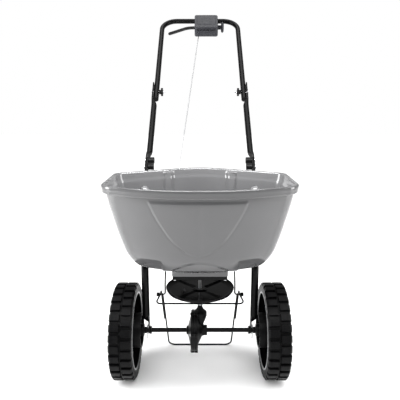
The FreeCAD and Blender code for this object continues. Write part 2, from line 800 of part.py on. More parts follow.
PORTS = ((-34, 9.5), (0, 30.5), (34, 9.5))
SHUTTER_TRAVEL = 14.05


def port_box(name, x, y, length, width):
    """The cutter of one outlet port, centred on x and y."""
    low = ("%s - (%s) / 2" % (x, length), "%s - (%s) / 2" % (y, width), 315)
    high = ("%s + (%s) / 2" % (x, length), "%s + (%s) / 2" % (y, width), 345)
    return box(name, low, high)


def make_outlet():
    body = box(
        "collar_block",
        ("-(neck_half_x - 2)", "-(neck_half_y - 2)", "collar_low"),
        ("neck_half_x - 2", "neck_half_y - 2", "neck_low"),
    )
    slot = box(
        "shutter_slot",
        ("-(shutter_half + 0.4)", -50, "shutter_low - 0.3"),
        ("shutter_half + 0.4", 80, "shutter_high + 0.3"),
    )
    ports = [
        port_box("port_%d" % n, x, y, "port_length", "port_width")
        for n, (x, y) in enumerate(PORTS)
    ]
    bush_hole = cylinder("bush_hole", 8, 30, (0, 0, 315))
    screw_holes = [
        cylinder("outlet_hole_%d" % n, 2.05, 30, (x, y, 315))
        for n, (x, y) in enumerate(OUTLET_SCREWS)
    ]
    node(cut("outlet_plate", body, slot, bush_hole, *ports, *screw_holes), "outlet_plate")
    screws = []
    for n, (x, y) in enumerate(OUTLET_SCREWS):
        shank = cylinder("outlet_shank_%d" % n, 1.95, 20, (x, y, "collar_low"))
        head = cylinder("outlet_head_%d" % n, 4, 2.5, (x, y, "collar_low - 2.5"))
        screws.append(fuse("outlet_screw_%d" % n, shank, head))
    node(group("outlet_screws", *screws), "outlet_screws")
    bearing = turned(
        "shaft_bearing",
        "z",
        [
            (321, "shaft_radius + running"),
            (321, 7.95),
            ("neck_low + 0.05", 7.95),
            ("neck_low + 0.05", 13),
            (335.5, 13),
            (335.5, "shaft_radius + running"),
        ],
    )
    node(bearing, "shaft_bearing")


def make_shutter():
    leaf = plate(
        "shutter_leaf",
        [
            ("-shutter_half", -48),
            ("shutter_half", -48),
            ("shutter_half", 53),
            (-40, 53),
            (-40, 106),
            (-60, 106),
            (-60, 62),
            ("-shutter_half", 62),
        ],
        "shutter_low",
        "shutter_high",
    )
    ports = [
        port_box("shutter_port_%d" % n, x, y - SHUTTER_TRAVEL, "port_length - 1", "port_width - 1")
        for n, (x, y) in enumerate(PORTS)
    ]
    slot_box = box("bush_slot_box", (-8.4, -21, 322), (8.4, 0, 332))
    slot_ends = [cylinder("bush_slot_end_%d" % n, 8.4, 10, (0, y, 322)) for n, y in enumerate((0, -21))]
    rod_hole = cylinder("rod_hole", "rod_radius + 0.8", 10, (-50, 95, 322))
    node(cut("shutter_plate", leaf, *ports, slot_box, *slot_ends, rod_hole), "shutter_plate")


# ---------------------------------------------------------------- frame and handle tubes


JOINT_DISTANCES = (-326, -352)


def along_handle():
    angle = math.radians(value("handle_angle"))
    return FreeCAD.Vector(0, math.cos(angle), math.sin(angle))


def on_fold_line(x, distance):
    """A point at a distance up the handle's line from its fold pivot."""
    return FreeCAD.Vector(x, value("fold_y"), value("fold_z")) + along_handle() * distance


def joint_hole(distance):
    return Part.makeCylinder(value("bolt_radius") + 0.1, 60, on_fold_line(135, distance), X_AXIS)


def make_frame_tubes():
    radius = value("frame_radius")
    offset = value("frame_offset")
    wall = value("tube_wall")
    points = frame_path()
    tube = pipe(route(points, [80, 60]), radius, wall)
    width = value("foot_width")
    taper, flat = value("foot_taper"), value("foot_flat")
    inner = offset - radius
    foot = flattened_end(
        points[0], -Z_AXIS, taper, flat, radius, inner, inner + value("frame_plate"), width
    )
    along = along_handle()
    head = flattened_end(points[3], along, 22, 50, radius, offset + 0.8, offset + 5.2, width)
    shape = tube.fuse([foot, head])
    axle_hole = Part.makeCylinder(8.55, 40, FreeCAD.Vector(140, 0, value("axle_height")), X_AXIS)
    shape = shape.cut(axle_hole)
    for distance in JOINT_DISTANCES:
        shape = shape.cut(joint_hole(distance))
    for height in HOPPER_BOLT_HEIGHTS:
        hole = Part.makeCylinder(3.1, 90, FreeCAD.Vector(offset, -10, height), Y_AXIS)
        shape = shape.cut(hole)
    right = feature("frame_tube_right", shape)
    node(right, "frame_tube_right")
    node(mirrored("frame_tube_left", right), "frame_tube_left")


def make_mid_tubes():
    radius = value("bow_radius")
    offset = value("frame_offset")
    low, high = value("plate_inner"), value("plate_outer")
    along = along_handle()
    width = value("plate_width")
    start = on_fold_line(offset, -290)
    end = on_fold_line(offset, -71)
    tube = pipe(Part.Wire(Part.LineSegment(start, end).toShape()), radius, value("tube_wall"))
    upper = flattened_end(end, along, 30, 83, radius, low, high, width)
    lower = flattened_end(start, -along, 24, 57, radius, low, high, width)
    shape = tube.fuse([upper, lower])
    for distance in JOINT_DISTANCES + (0,):
        shape = shape.cut(joint_hole(distance))
    right = feature("mid_tube_right", shape)
    node(right, "mid_tube_right")
    node(mirrored("mid_tube_left", right), "mid_tube_left")


def bar_on_fold_line(name, radius, start, end, distance):
    point = on_fold_line(0, distance)
    return cylinder(name, radius, "(%s) - (%s)" % (end, start), (start, point.y, point.z), "x")


def make_joint_fasteners():
    bolts, nuts = [], []
    for number, distance in enumerate(JOINT_DISTANCES):
        outer = "plate_outer + 0.1"
        shank = bar_on_fold_line("joint_shank_%d" % number, "bolt_radius", 143, outer, distance)
        head = bar_on_fold_line("joint_head_%d" % number, 7.5, outer, "plate_outer + 3.4", distance)
        bolts.append(pair("joint_bolt_pair_%d" % number, fuse("joint_bolt_%d" % number, shank, head)))
        knob = bar_on_fold_line("joint_knob_%d" % number, 10, 142, 159.6, distance)
        bore = bar_on_fold_line("joint_knob_bore_%d" % number, "bolt_radius + 0.02", 143, 160, distance)
        nuts.append(pair("joint_nut_pair_%d" % number, cut("joint_nut_%d" % number, knob, bore)))
    node(group("joint_bolts", *bolts), "joint_bolts")
    node(group("joint_nuts", *nuts), "joint_nuts")
    shank = bar_on_fold_line("fold_shank", "bolt_radius", 122, "plate_outer + 0.1", 0)
    head = bar_on_fold_line("fold_head", 8, "plate_outer + 0.1", "plate_outer + 3.2", 0)
    node(pair("fold_bolts", fuse("fold_bolt", shank, head)), "fold_bolts")
    hub = bar_on_fold_line("wing_hub", 8, 130.5, 144.6, 0)
    wing = feature("wings", Part.makeBox(7, 6, 28, FreeCAD.Vector(131.5, -3, -14)))
    place(wing, (0, "fold_y", "fold_z"), FreeCAD.Rotation())
    bore = bar_on_fold_line("wing_bore", "bolt_radius + running", 120, 150, 0)
    knob = cut("wing_knob_right", fuse("wing_blank", hub, wing), bore)
    node(knob, "wing_knob_right")
    node(mirrored("wing_knob_left", knob), "wing_knob_left")


def make_handle_bow():
    x = value("bow_offset")
    reach = value("fold_to_bar")
    low = -value("bow_tail")
    points = [on_fold_line(x, low), on_fold_line(x, reach), on_fold_line(-x, reach), on_fold_line(-x, low)]
    tube = pipe(route(points, [value("bow_corner")] * 2), value("bow_radius"), value("tube_wall"))
    for side in (1, -1):
        start = on_fold_line(side * x - 30, 0)
        tube = tube.cut(Part.makeCylinder(value("bolt_radius + running"), 60, start, X_AXIS))
    node(feature("handle_bow", tube), "handle_bow")
    plugs = []
    for side in (1, -1):
        start = on_fold_line(side * x, low)
        along = along_handle()
        head = Part.makeCylinder(value("bow_radius"), 3, start - along * 3.05, along)
        stem = Part.makeCylinder(value("bow_radius - tube_wall - 0.05"), 14, start - along * 0.1, along)
        plugs.append(feature("tube_plug_%d" % (side + 1), head.fuse(stem)))
    node(group("tube_plugs", *plugs), "tube_plugs")


# ---------------------------------------------------------------- control box and lever


HANDLE_FRAME = FreeCAD.Placement(
    on_fold_line(0, value("fold_to_bar")), FreeCAD.Rotation(X_AXIS, value("handle_angle"))
)


def on_handle(x, along, out):
    """A point given by its place across, along and out of the handle's plane."""
    return HANDLE_FRAME.multVec(FreeCAD.Vector(x, along, out))


def in_handle_plane(piece):
    """Put a piece that was drawn flat, with the crossbar at the origin, on the handle."""
    piece.Placement = HANDLE_FRAME
    return piece


def rounded_box(name, low, high, radius):
    block = box(name + "_block", low, high)
    DOC.recompute()
    made = DOC.addObject("Part::Fillet", name)
    made.Base = block
    upright = [
        (index + 1, radius, radius)
        for index, edge in enumerate(block.Shape.Edges)
        if abs(edge.tangentAt(edge.FirstParameter).z) > 0.9
    ]
    made.Edges = upright
    return made


def box_tools(tag):
    """What is cut from both halves of the control box."""
    bar = cylinder("bar_hole_" + tag, "bow_radius + 0.05", 140, (-40, 0, 0), "x")
    lever_slot = box("lever_slot_" + tag, ("box_left - 2", -58, -7), ("box_left + box_wall + 2", -14.2, 7))
    knob_hole = cylinder("knob_hole_" + tag, 8.9, 20, ("box_right - 10", "pivot_s", 0), "x")
    pin_hole = cylinder("pin_hole_" + tag, "pin_radius + 0.02", 60, ("pivot_x", "pivot_s", -30))
    return [bar, lever_slot, knob_hole, pin_hole]


SCREW_PLACES = ((-14.5, -68.5), (65.5, -68.5), (65.5, -18))


def make_control_box():
    low = ("box_left", "box_low", "box_back")
    high = ("box_right", "box_high", "box_front")
    for tag, bottom, top in (("rear", "box_back", "0"), ("front", "0", "box_front")):
        outside = rounded_box(tag + "_case", low[:2] + (bottom,), high[:2] + (top,), 9)
        hollow_low = "box_back + box_wall" if tag == "rear" else "-1"
        hollow_high = "1" if tag == "rear" else "box_front - box_wall"
        hollow = rounded_box(
            tag + "_hollow",
            ("box_left + box_wall", "box_low + box_wall", hollow_low),
            ("box_right - box_wall", -13, hollow_high),
            6,
        )
        shell = cut(tag + "_shell", outside, hollow)
        posts = [
            cylinder("%s_post_%d" % (tag, n), 5, "(%s) - (%s)" % (top, bottom), (x, y, bottom))
            for n, (x, y) in enumerate(SCREW_PLACES)
        ]
        shell = fuse(tag + "_posted", shell, *posts)
        tools = box_tools(tag) + [
            cylinder("%s_screw_hole_%d" % (tag, n), 1.8, 36, (x, y, "box_back - 1"))
            for n, (x, y) in enumerate(SCREW_PLACES)
        ]
        if tag == "rear":
            slot_low = ("hook_x - 6", "box_low - 2", "box_back - 1")
            tools.append(box("rod_slot", slot_low, ("hook_x + 6", -18, -10)))
        node(in_handle_plane(cut("control_box_" + tag, shell, *tools)), "control_box_" + tag)
    pin_start = ("pivot_x", "pivot_s", "box_back + 1.5")
    pin = cylinder("pivot_pin", "pin_radius", "box_front - box_back - 4", pin_start)
    node(in_handle_plane(group("lever_pivot_pin", pin)), "lever_pivot_pin")
    screws = []
    for number, (x, y) in enumerate(SCREW_PLACES):
        shank = cylinder("box_shank_%d" % number, 1.75, 34, (x, y, "box_back"))
        head = cylinder("box_head_%d" % number, 3.6, 2, (x, y, "box_back - 2"))
        screws.append(fuse("box_screw_%d" % number, shank, head))
    node(in_handle_plane(group("box_screws", *screws)), "box_screws")


def make_lever():
    points = [FreeCAD.Vector(50, -45, 0), FreeCAD.Vector(-50, -49, 0), FreeCAD.Vector(-122, -90, 0)]
    arm = swept(route(points, [70]), 6.0)
    tip = Part.makeSphere(6.4, points[-1])
    boss = Part.makeCylinder(10, 15, FreeCAD.Vector(50, -45, -7.5))
    bore = Part.makeCylinder(value("pin_radius") + value("running"), 40, FreeCAD.Vector(50, -45, -20))
    slot = Part.makeBox(12, 4.6, 40, FreeCAD.Vector(value("hook_x") - 6, value("hook_s") - 2.3, -20))
    lever = feature("control_lever", arm.fuse([tip, boss]).cut(bore).cut(slot))
    node(in_handle_plane(lever), "control_lever")


def make_rate_knob():
    stem = cylinder("rate_stem", 8.5, "86.5 - 63.5", (63.5, "pivot_s", 0), "x")
    collar = cylinder("rate_collar", 11, 5, (64.2, "pivot_s", 0), "x")
    dial = [(86.3, 0), (86.3, 17), (89, 20.5), (93, 20.5), (97, 15), (98, 0)]
    flange = turned("rate_flange", "x", dial, (0, "pivot_s", 0))
    node(in_handle_plane(fuse("rate_knob", stem, collar, flange)), "rate_knob")


def make_control_rod():
    radius = value("rod_radius")
    points = [
        on_handle(value("hook_x"), value("hook_s"), 9),
        on_handle(value("hook_x"), value("hook_s"), -15.5),
        FreeCAD.Vector(-64, value("rod_behind_y"), value("rod_behind_z")),
        FreeCAD.Vector(-50, 95, 352),
        FreeCAD.Vector(-50, 95, 311),
    ]
    node(feature("control_rod", swept(route(points, [5, 60, 20]), radius)), "control_rod")


# ---------------------------------------------------------------- wire stand


def make_wires():
    wire = value("wire_radius")
    x, y, z = value("hanger_x"), value("hanger_y"), value("hanger_z")
    hanger_points = [
        FreeCAD.Vector(x, y - 14, 345),
        FreeCAD.Vector(x, y + 16, 345),
        FreeCAD.Vector(x, y + 16, 300),
        FreeCAD.Vector(x, y, 270),
        FreeCAD.Vector(x, y, z),
        FreeCAD.Vector(x + 22, y, z),
    ]
    hanger = feature("wire_hanger_right", swept(route(hanger_points, [7, 12, 12, 7]), wire))
    node(hanger, "wire_hanger_right")
    node(mirrored("wire_hanger_left", hanger), "wire_hanger_left")
    tip = cut(
        "hanger_tip",
        cylinder("tip_outside", 6, 9, ("hanger_x + 17", "hanger_y", "hanger_z"), "x"),
        cylinder("tip_bore", "wire_radius + 0.05", 6, ("hanger_x + 16", "hanger_y", "hanger_z"), "x"),
    )
    node(pair("hanger_tips", tip), "hanger_tips")
    knuckle = FreeCAD.Vector(x + 8, y + 2 * wire + 0.1, z)
    foot_y = value("stand_y")
    stand_points = [
        knuckle,
        FreeCAD.Vector(x, foot_y, wire),
        FreeCAD.Vector(-x, foot_y, wire),
        FreeCAD.Vector(-knuckle.x, knuckle.y, knuckle.z),
    ]
    node(feature("stand_wire", swept(route(stand_points, [22, 22]), wire)), "stand_wire")
    half, bar_y, bar_z = value("brace_half"), value("brace_y"), value("brace_z")
    over = z + 2 * wire + 0.2
    brace_right = [
        FreeCAD.Vector(x + 8.5, 96, 128),
        FreeCAD.Vector(x + 13.5, y + 18, over),
        FreeCAD.Vector(x + 13.5, y - 10, over),
        FreeCAD.Vector(half, bar_y, bar_z),
    ]
    brace_left = [FreeCAD.Vector(-p.x, p.y, p.z) for p in reversed(brace_right)]
    brace_route = route(brace_right + brace_left, [12, 20, 12, 12, 20, 12])
    node(feature("front_brace_wire", swept(brace_route, wire)), "front_brace_wire")


# ---------------------------------------------------------------- build, check and export


make_wheels()
make_wheel_covers()
make_axle()
make_bevel_gear()
make_pinion()
make_impeller()
make_gearbox()
make_hopper()
make_hopper_bolts()
make_outlet()
make_shutter()
make_frame_tubes()
make_mid_tubes()
make_joint_fasteners()
make_handle_bow()
make_control_box()
make_lever()
make_rate_knob()
make_control_rod()
make_wires()
DOC.recompute()

for piece in DOC.Objects:
    if "Invalid" in piece.State or "Error" in piece.State:
        raise RuntimeError("%s did not build: %s" % (piece.Label, piece.State))
for piece in NODES:
    if piece.Shape.isNull() or not piece.Shape.isValid():
        raise RuntimeError("%s has no valid shape" % piece.Label)

os.makedirs("parts", exist_ok=True)
for piece in NODES:
    piece.Shape.exportStep("parts/%s.step" % piece.Label)
    print("%-20s %2d solids %10.0f mm3" % (piece.Label, len(piece.Shape.Solids), piece.Shape.Volume))
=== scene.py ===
import json
import math
import bmesh
import bpy
from mathutils import Matrix, Vector


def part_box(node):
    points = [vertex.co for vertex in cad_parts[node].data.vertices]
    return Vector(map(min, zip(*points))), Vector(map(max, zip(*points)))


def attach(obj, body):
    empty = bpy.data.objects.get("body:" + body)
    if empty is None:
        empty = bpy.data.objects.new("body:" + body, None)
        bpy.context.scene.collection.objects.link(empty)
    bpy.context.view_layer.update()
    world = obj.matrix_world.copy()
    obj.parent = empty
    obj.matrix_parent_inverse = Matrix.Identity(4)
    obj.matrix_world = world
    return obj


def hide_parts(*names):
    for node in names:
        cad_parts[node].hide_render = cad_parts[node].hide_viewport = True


# The looks of the walk-behind broadcast spreader. Lengths are in millimetres until a mesh is
# made, except for the floor, the lights and the camera, which are placed in metres.
# X points to the right seen from the front, -Y to the front and Z up; the origin is on the
# floor under the middle of the axle.

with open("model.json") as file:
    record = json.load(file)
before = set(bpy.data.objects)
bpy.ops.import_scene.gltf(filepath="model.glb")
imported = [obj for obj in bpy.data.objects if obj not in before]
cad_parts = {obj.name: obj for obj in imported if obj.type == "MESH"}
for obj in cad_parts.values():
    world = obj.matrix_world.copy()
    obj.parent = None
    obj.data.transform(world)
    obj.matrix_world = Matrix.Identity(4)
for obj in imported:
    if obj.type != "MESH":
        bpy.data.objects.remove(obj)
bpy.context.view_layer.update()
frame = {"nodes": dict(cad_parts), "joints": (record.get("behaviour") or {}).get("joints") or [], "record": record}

MM = 0.001
NODES = frame["nodes"]
X_AXIS = Vector((1, 0, 0))
Y_AXIS = Vector((0, 1, 0))
Z_AXIS = Vector((0, 0, 1))


def node_box(name):
    """Lowest and highest corner of a CAD node, in millimetres."""
    low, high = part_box(name)
    return low / MM, high / MM


# ---------------------------------------------------------------- materials


def new_material(name, colour, roughness, metallic=0.0, specular=0.5):
    """A material and its shader, with uniform values."""
    material = bpy.data.materials.new(name)
    material.use_nodes = True
    material.diffuse_color = (*colour, 1.0)
    shader = material.node_tree.nodes["Principled BSDF"]
    shader.inputs["Metallic"].default_value = metallic
    shader.inputs["Specular IOR Level"].default_value = specular
    shader.inputs["Roughness"].default_value = roughness
    return material, shader


def noise(tree, coordinates, per_metre, detail):
    """A noise field with a given number of blotches to the metre."""
    field = tree.nodes.new("ShaderNodeTexNoise")
    field.inputs["Scale"].default_value = per_metre
    field.inputs["Detail"].default_value = detail
    tree.links.new(coordinates, field.inputs["Vector"])
    return field.outputs["Fac"]


def spread(tree, field, low, high):
    """The middle of a noise field stretched to run from low to high."""
    remap = tree.nodes.new("ShaderNodeMapRange")
    remap.inputs["From Min"].default_value = 0.3
    remap.inputs["From Max"].default_value = 0.7
    remap.inputs["To Min"].default_value = low
    remap.inputs["To Max"].default_value = high
    tree.links.new(field, remap.inputs["Value"])
    return remap.outputs["Result"]


def tinted(tree, field, dark, light):
    """A noise field turned into colours between a dark and a light one."""
    ramp = tree.nodes.new("ShaderNodeValToRGB")
    ramp.color_ramp.elements[0].position = 0.32
    ramp.color_ramp.elements[1].position = 0.68
    ramp.color_ramp.elements[0].color = (*dark, 1.0)
    ramp.color_ramp.elements[1].color = (*light, 1.0)
    tree.links.new(field, ramp.inputs["Fac"])
    return ramp.outputs["Color"]


def surface(name, colour, roughness, variation, blotches, grain, relief, uneven=0.06, **extra):
    """A material with blotchy colour, uneven gloss and a fine relief.

    variation is the share by which the colour changes, blotches and grain are counts to the
    metre, relief is the strength of the bump and uneven the change of the roughness.
    """
    material, shader = new_material(name, colour, roughness, **extra)
    tree = material.node_tree
    coordinates = tree.nodes.new("ShaderNodeTexCoord").outputs["Object"]
    dark = tuple(c * (1 - variation) for c in colour)
    light = tuple(min(c * (1 + variation), 1.0) for c in colour)
    patches = noise(tree, coordinates, blotches, 4.0)
    tree.links.new(tinted(tree, patches, dark, light), shader.inputs["Base Color"])
    gloss = noise(tree, coordinates, blotches * 2.6, 5.0)
    worn = spread(tree, gloss, roughness - uneven, roughness + uneven)
    tree.links.new(worn, shader.inputs["Roughness"])
    fine = noise(tree, coordinates, grain, 2.0)
    bump = tree.nodes.new("ShaderNodeBump")
    bump.inputs["Strength"].default_value = relief
    bump.inputs["Distance"].default_value = 0.0006
    tree.links.new(fine, bump.inputs["Height"])
    tree.links.new(bump.outputs["Normal"], shader.inputs["Normal"])
    return material


FINISHES = {
    # colour, roughness, variation, blotches, grain, relief, and what differs from the usual
    "hopper_plastic": (
        (0.08, 0.08, 0.082), 0.11, 0.035, 9.0, 1500.0, 0.02, {"specular": 0.55, "uneven": 0.02}),
    "black_tube": ((0.0018, 0.0018, 0.0019), 0.24, 0.15, 20.0, 1100.0, 0.05, {"specular": 0.09}),
    "black_wire": ((0.002, 0.002, 0.0021), 0.33, 0.15, 30.0, 1200.0, 0.05, {"specular": 0.05}),
    "black_moulding": ((0.004, 0.004, 0.0042), 0.4, 0.2, 16.0, 1700.0, 0.12, {"specular": 0.09}),
    "tyre_rubber": ((0.0028, 0.0028, 0.003), 0.4, 0.22, 24.0, 1400.0, 0.2, {"specular": 0.07}),
    "gloss_black": (
        (0.0015, 0.0015, 0.0017), 0.14, 0.1, 12.0, 500.0, 0.015,
        {"specular": 0.07, "uneven": 0.04}),
    "box_plastic": ((0.018, 0.0185, 0.023), 0.45, 0.08, 30.0, 1900.0, 0.22, {"specular": 0.3}),
    "lever_plastic": ((0.007, 0.007, 0.0072), 0.36, 0.15, 30.0, 1600.0, 0.1, {"specular": 0.2}),
    "cover_plastic": ((0.25, 0.253, 0.257), 0.36, 0.04, 12.0, 1300.0, 0.05, {}),
    "bright_steel": ((0.45, 0.45, 0.46), 0.34, 0.12, 60.0, 2500.0, 0.1, {"metallic": 1.0}),
    "gear_steel": ((0.2, 0.2, 0.205), 0.45, 0.2, 80.0, 2600.0, 0.25, {"metallic": 1.0}),
}
MATERIALS = {name: surface(name, *values, **extra) for name, (*values, extra) in FINISHES.items()}


# ---------------------------------------------------------------- forms and pieces


class Form:
    """Points and faces gathered from several pieces of geometry."""

    def __init__(self):
        self.points = []
        self.faces = []

    def add(self, part):
        """Take in a (points, faces) pair."""
        points, faces = part
        first = len(self.points)
        self.points += [Vector(point) for point in points]
        self.faces += [tuple(first + index for index in face) for face in faces]
        return self


def grid_faces(rows, columns, closed_rows=False):
    """Quads between closed rings of points, one ring to a row."""
    faces = []
    for row in range(rows if closed_rows else rows - 1):
        below = ((row + 1) % rows) * columns
        above = row * columns
        for column in range(columns):
            after = (column + 1) % columns
            faces.append((above + column, above + after, below + after, below + column))
    return faces


def piece(name, form, material, body, replaces=(), sharp=32.0, bevel=0.0):
    """A mesh object made from a form, shaded smooth between its sharp edges."""
    mesh = bpy.data.meshes.new(name)
    mesh.from_pydata([point * MM for point in form.points], [], form.faces)
    work = bmesh.new()
    work.from_mesh(mesh)
    bmesh.ops.remove_doubles(work, verts=work.verts, dist=1e-6)
    bmesh.ops.recalc_face_normals(work, faces=work.faces)
    for face in work.faces:
        face.smooth = True
    for edge in work.edges:
        if len(edge.link_faces) == 2:
            edge.smooth = edge.calc_face_angle() < math.radians(sharp)
    work.to_mesh(mesh)
    work.free()
    made = bpy.data.objects.new(name, mesh)
    bpy.context.scene.collection.objects.link(made)
    mesh.materials.append(MATERIALS[material])
    if bevel:
        rounding = made.modifiers.new("rounded_edges", "BEVEL")
        rounding.width = bevel * MM
        rounding.segments = 2
        rounding.limit_method = "ANGLE"
        rounding.angle_limit = math.radians(sharp)
        rounding.harden_normals = True
    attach(made, body)
    if replaces:
        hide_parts(*replaces)
    return made


def filleted(corners, radius, steps=4, closed=False):
    """An outline in the plane with its corners rounded by curves of up to the given radius."""
    count = len(corners)
    rounded = []
    for index, corner in enumerate(corners):
        here = Vector(corner)
        if not closed and index in (0, count - 1):
            rounded.append(here)
            continue
        back = Vector(corners[index - 1]) - here
        ahead = Vector(corners[(index + 1) % count]) - here
        half = back.angle(ahead) / 2
        nearly_straight = half > math.radians(88)
        if nearly_straight:
            rounded.append(here)
            continue
        reach = min(radius / math.tan(half), 0.48 * back.length, 0.48 * ahead.length)
        first = here + back.normalized() * reach
        last = here + ahead.normalized() * reach
        for step in range(steps + 1):
            share = step / steps
            toward_corner = 2 * share * (1 - share) * here
            rounded.append((1 - share) ** 2 * first + toward_corner + share**2 * last)
    return rounded


def lathe(profile, axis="x", centre=(0, 0, 0), steps=96, wave=(0, 0.0)):
    """A turned ring. The closed profile holds (along, radius); wave is (ridges, depth)."""
    points = []
    ridges, depth = wave
    for along, radius in profile:
        for step in range(steps):
            angle = 2 * math.pi * step / steps
            reach = radius
            if ridges and radius > depth * 3:
                reach -= depth * (0.5 + 0.5 * math.cos(ridges * angle))
            side, up = reach * math.cos(angle), reach * math.sin(angle)
            place = (along, side, up) if axis == "x" else (side, up, along)
            points.append(Vector(centre) + Vector(place))
    return points, grid_faces(len(profile), steps, closed_rows=True)


def ring_section(half_wide, half_deep, power=2.0, count=24):
    """A superellipse: round at power 2 and nearly a rectangle at power 10."""
    section = []
    for step in range(count):
        angle = 2 * math.pi * (step + 0.5) / count
        wide, deep = math.cos(angle), math.sin(angle)
        section.append((
            half_wide * math.copysign(abs(wide) ** (2 / power), wide),
            half_deep * math.copysign(abs(deep) ** (2 / power), deep),
        ))
    return section


def route(points, radii, steps=10):
    """Straight runs joined by tangent arcs, as points along the way."""
    path = [Vector(points[0])]
    for before, corner, after, radius in zip(points, points[1:], points[2:], radii):
        corner = Vector(corner)
        back = (Vector(before) - corner).normalized()
        ahead = (Vector(after) - corner).normalized()
        half = back.angle(ahead) / 2
        middle = corner + (back + ahead).normalized() * (radius / math.sin(half))
        first = corner + back * (radius / math.tan(half)) - middle
        turn = math.pi - 2 * half
        spin_axis = back.cross(ahead).normalized()
        for step in range(steps + 1):
            spin = Matrix.Rotation(-turn * step / steps, 3, spin_axis)
            path.append(middle + spin @ first)
    path.append(Vector(points[-1]))
    return path


def sweep(path, sections):
    """A closed form through the sections set square to the path, one for each of its points."""
    tangents = []
    for index, point in enumerate(path):
        before = path[max(index - 1, 0)]
        after = path[min(index + 1, len(path) - 1)]
        tangents.append((after - before).normalized())
    side = X_AXIS - tangents[0] * X_AXIS.dot(tangents[0])
    side = side.normalized() if side.length > 0.2 else Y_AXIS.copy()
    points = []
    for point, tangent, section in zip(path, tangents, sections):
        side = (side - tangent * side.dot(tangent)).normalized()
        across = tangent.cross(side)
        points += [point + side * a + across * b for a, b in section]
    columns = len(sections[0])
    faces = grid_faces(len(path), columns)
    for end, flip in ((0, False), (len(path) - 1, True)):
        cap = tuple(range(end * columns, (end + 1) * columns))
        faces.append(cap[::-1] if flip else cap)
    return points, faces


def wire(points, radii, radius, count=20):
    """A round bar with slightly rounded ends along a route."""
    path = route(points, radii)
    start = (path[1] - path[0]).normalized() * radius * 0.4
    end = (path[-2] - path[-1]).normalized() * radius * 0.4
    path = [path[0], path[0] + start] + path[1:-1] + [path[-1] + end, path[-1]]
    full = ring_section(radius, radius, 2.0, count)
    small = ring_section(radius * 0.7, radius * 0.7, 2.0, count)
    return sweep(path, [small] + [full] * (len(path) - 2) + [small])


def prism(outline, low, high, lift=None):
    """A flat form between two heights; lift maps (x, y, z) into place."""
    lift = lift or Vector
    count = len(outline)
    points = [lift((p[0], p[1], z)) for z in (low, high) for p in outline]
    faces = grid_faces(2, count)
    faces += [tuple(range(count))[::-1], tuple(range(count, 2 * count))]
    return points, faces


def mirrored(part):
    """The same geometry on the other side of the machine."""
    points, faces = part
    return [Vector((-p[0], p[1], p[2])) for p in points], [face[::-1] for face in faces]


def both_sides(make):
    """Run a maker for the right and the left side: (side name, flip)."""
    make("right", lambda part: part)
    make("left", mirrored)


def bar_along_x(start, end, radius, y, z, rounding=0.8, bore=0.0, steps=48, wave=(0, 0.0)):
    """A turned bar or ring along X with rounded edges."""
    inner = max(bore, 0.01)
    corners = [(start, inner), (start, radius), (end, radius), (end, inner)]
    return lathe(filleted(corners, rounding, 3), "x", (0, y, z), steps, wave)


# ---------------------------------------------------------------- measures from the frame

HOPPER_FLOOR = node_box("hopper")[0].z
AXLE_Z = sum(corner.z for corner in node_box("axle")) / 2
WHEEL_LOW, WHEEL_HIGH = node_box("wheel_right")
DISC_LOW, DISC_HIGH = node_box("impeller_disc")
FOLD = Vector(next(j["pos_m"] for j in frame["joints"] if j["name"] == "handle_fold")) / MM
HANDLE_ANGLE = math.radians(40.6)
ALONG = Vector((0, math.cos(HANDLE_ANGLE), math.sin(HANDLE_ANGLE)))
OUT = Vector((0, -math.sin(HANDLE_ANGLE), math.cos(HANDLE_ANGLE)))
BAR_DISTANCE = 451.4  # from the fold pivot to the middle of the crossbar


def on_handle_line(x, distance):
    """A point at a distance up the handle's line from its fold pivot."""
    return Vector((x, FOLD.y, FOLD.z)) + ALONG * distance


def on_handle(point):
    """Across, along and out of the handle's plane, from the middle of its crossbar."""
    return on_handle_line(point[0], BAR_DISTANCE + point[1]) + OUT * point[2]


# ---------------------------------------------------------------- hopper

HOPPER_LEVELS = [
    # height, half width, front, back
    (610, 232, -242, 118),
    (583, 228, -240, 115),
    (503, 213, -211, 108),
    (450, 200, -191, 101),
    (420, 190, -178, 94),
    (382, 164, -150, 84),
    (368, 138, -126, 76),
    (354, 104, -92, 68),
    (345, 80, -64, 62),
]
RIM_Z = HOPPER_LEVELS[0][0]
LEVELS_END_Z = HOPPER_LEVELS[-1][0]
SKIN = 3.0
# The curved crease of the front panel: a parabola from its lowest point up to the rim.
CREASE_LOW, CREASE_TALL, CREASE_HALF, CREASE_MIDDLE = 436.0, 154.0, 118.0, -4.0


def slopes(table, column):
    """Tangents for a smooth monotone curve through one column of the levels."""
    steps = [
        (b[column] - a[column]) / (b[0] - a[0]) for a, b in zip(table, table[1:])
    ]
    tangents = [steps[0]]
    for one, two in zip(steps, steps[1:]):
        tangents.append(0.0 if one * two <= 0 else 2 * one * two / (one + two))
    return tangents + [steps[-1]]


LEVEL_SLOPES = [slopes(HOPPER_LEVELS, column) for column in (1, 2, 3)]


def level_at(height):
    """Half width, front and back of the hopper's outside at a height."""
    height = min(max(height, HOPPER_LEVELS[-1][0]), HOPPER_LEVELS[0][0])
    for index, (a, b) in enumerate(zip(HOPPER_LEVELS, HOPPER_LEVELS[1:])):
        if height >= b[0]:
            break
    span = b[0] - a[0]
    share = (height - a[0]) / span
    sizes = []
    for column in (1, 2, 3):
        start, end = LEVEL_SLOPES[column - 1][index], LEVEL_SLOPES[column - 1][index + 1]
        sizes.append(
            (2 * share**3 - 3 * share**2 + 1) * a[column]
            + (share**3 - 2 * share**2 + share) * span * start
            + (3 * share**2 - 2 * share**3) * b[column]
            + (share**3 - share**2) * span * end
        )
    return sizes


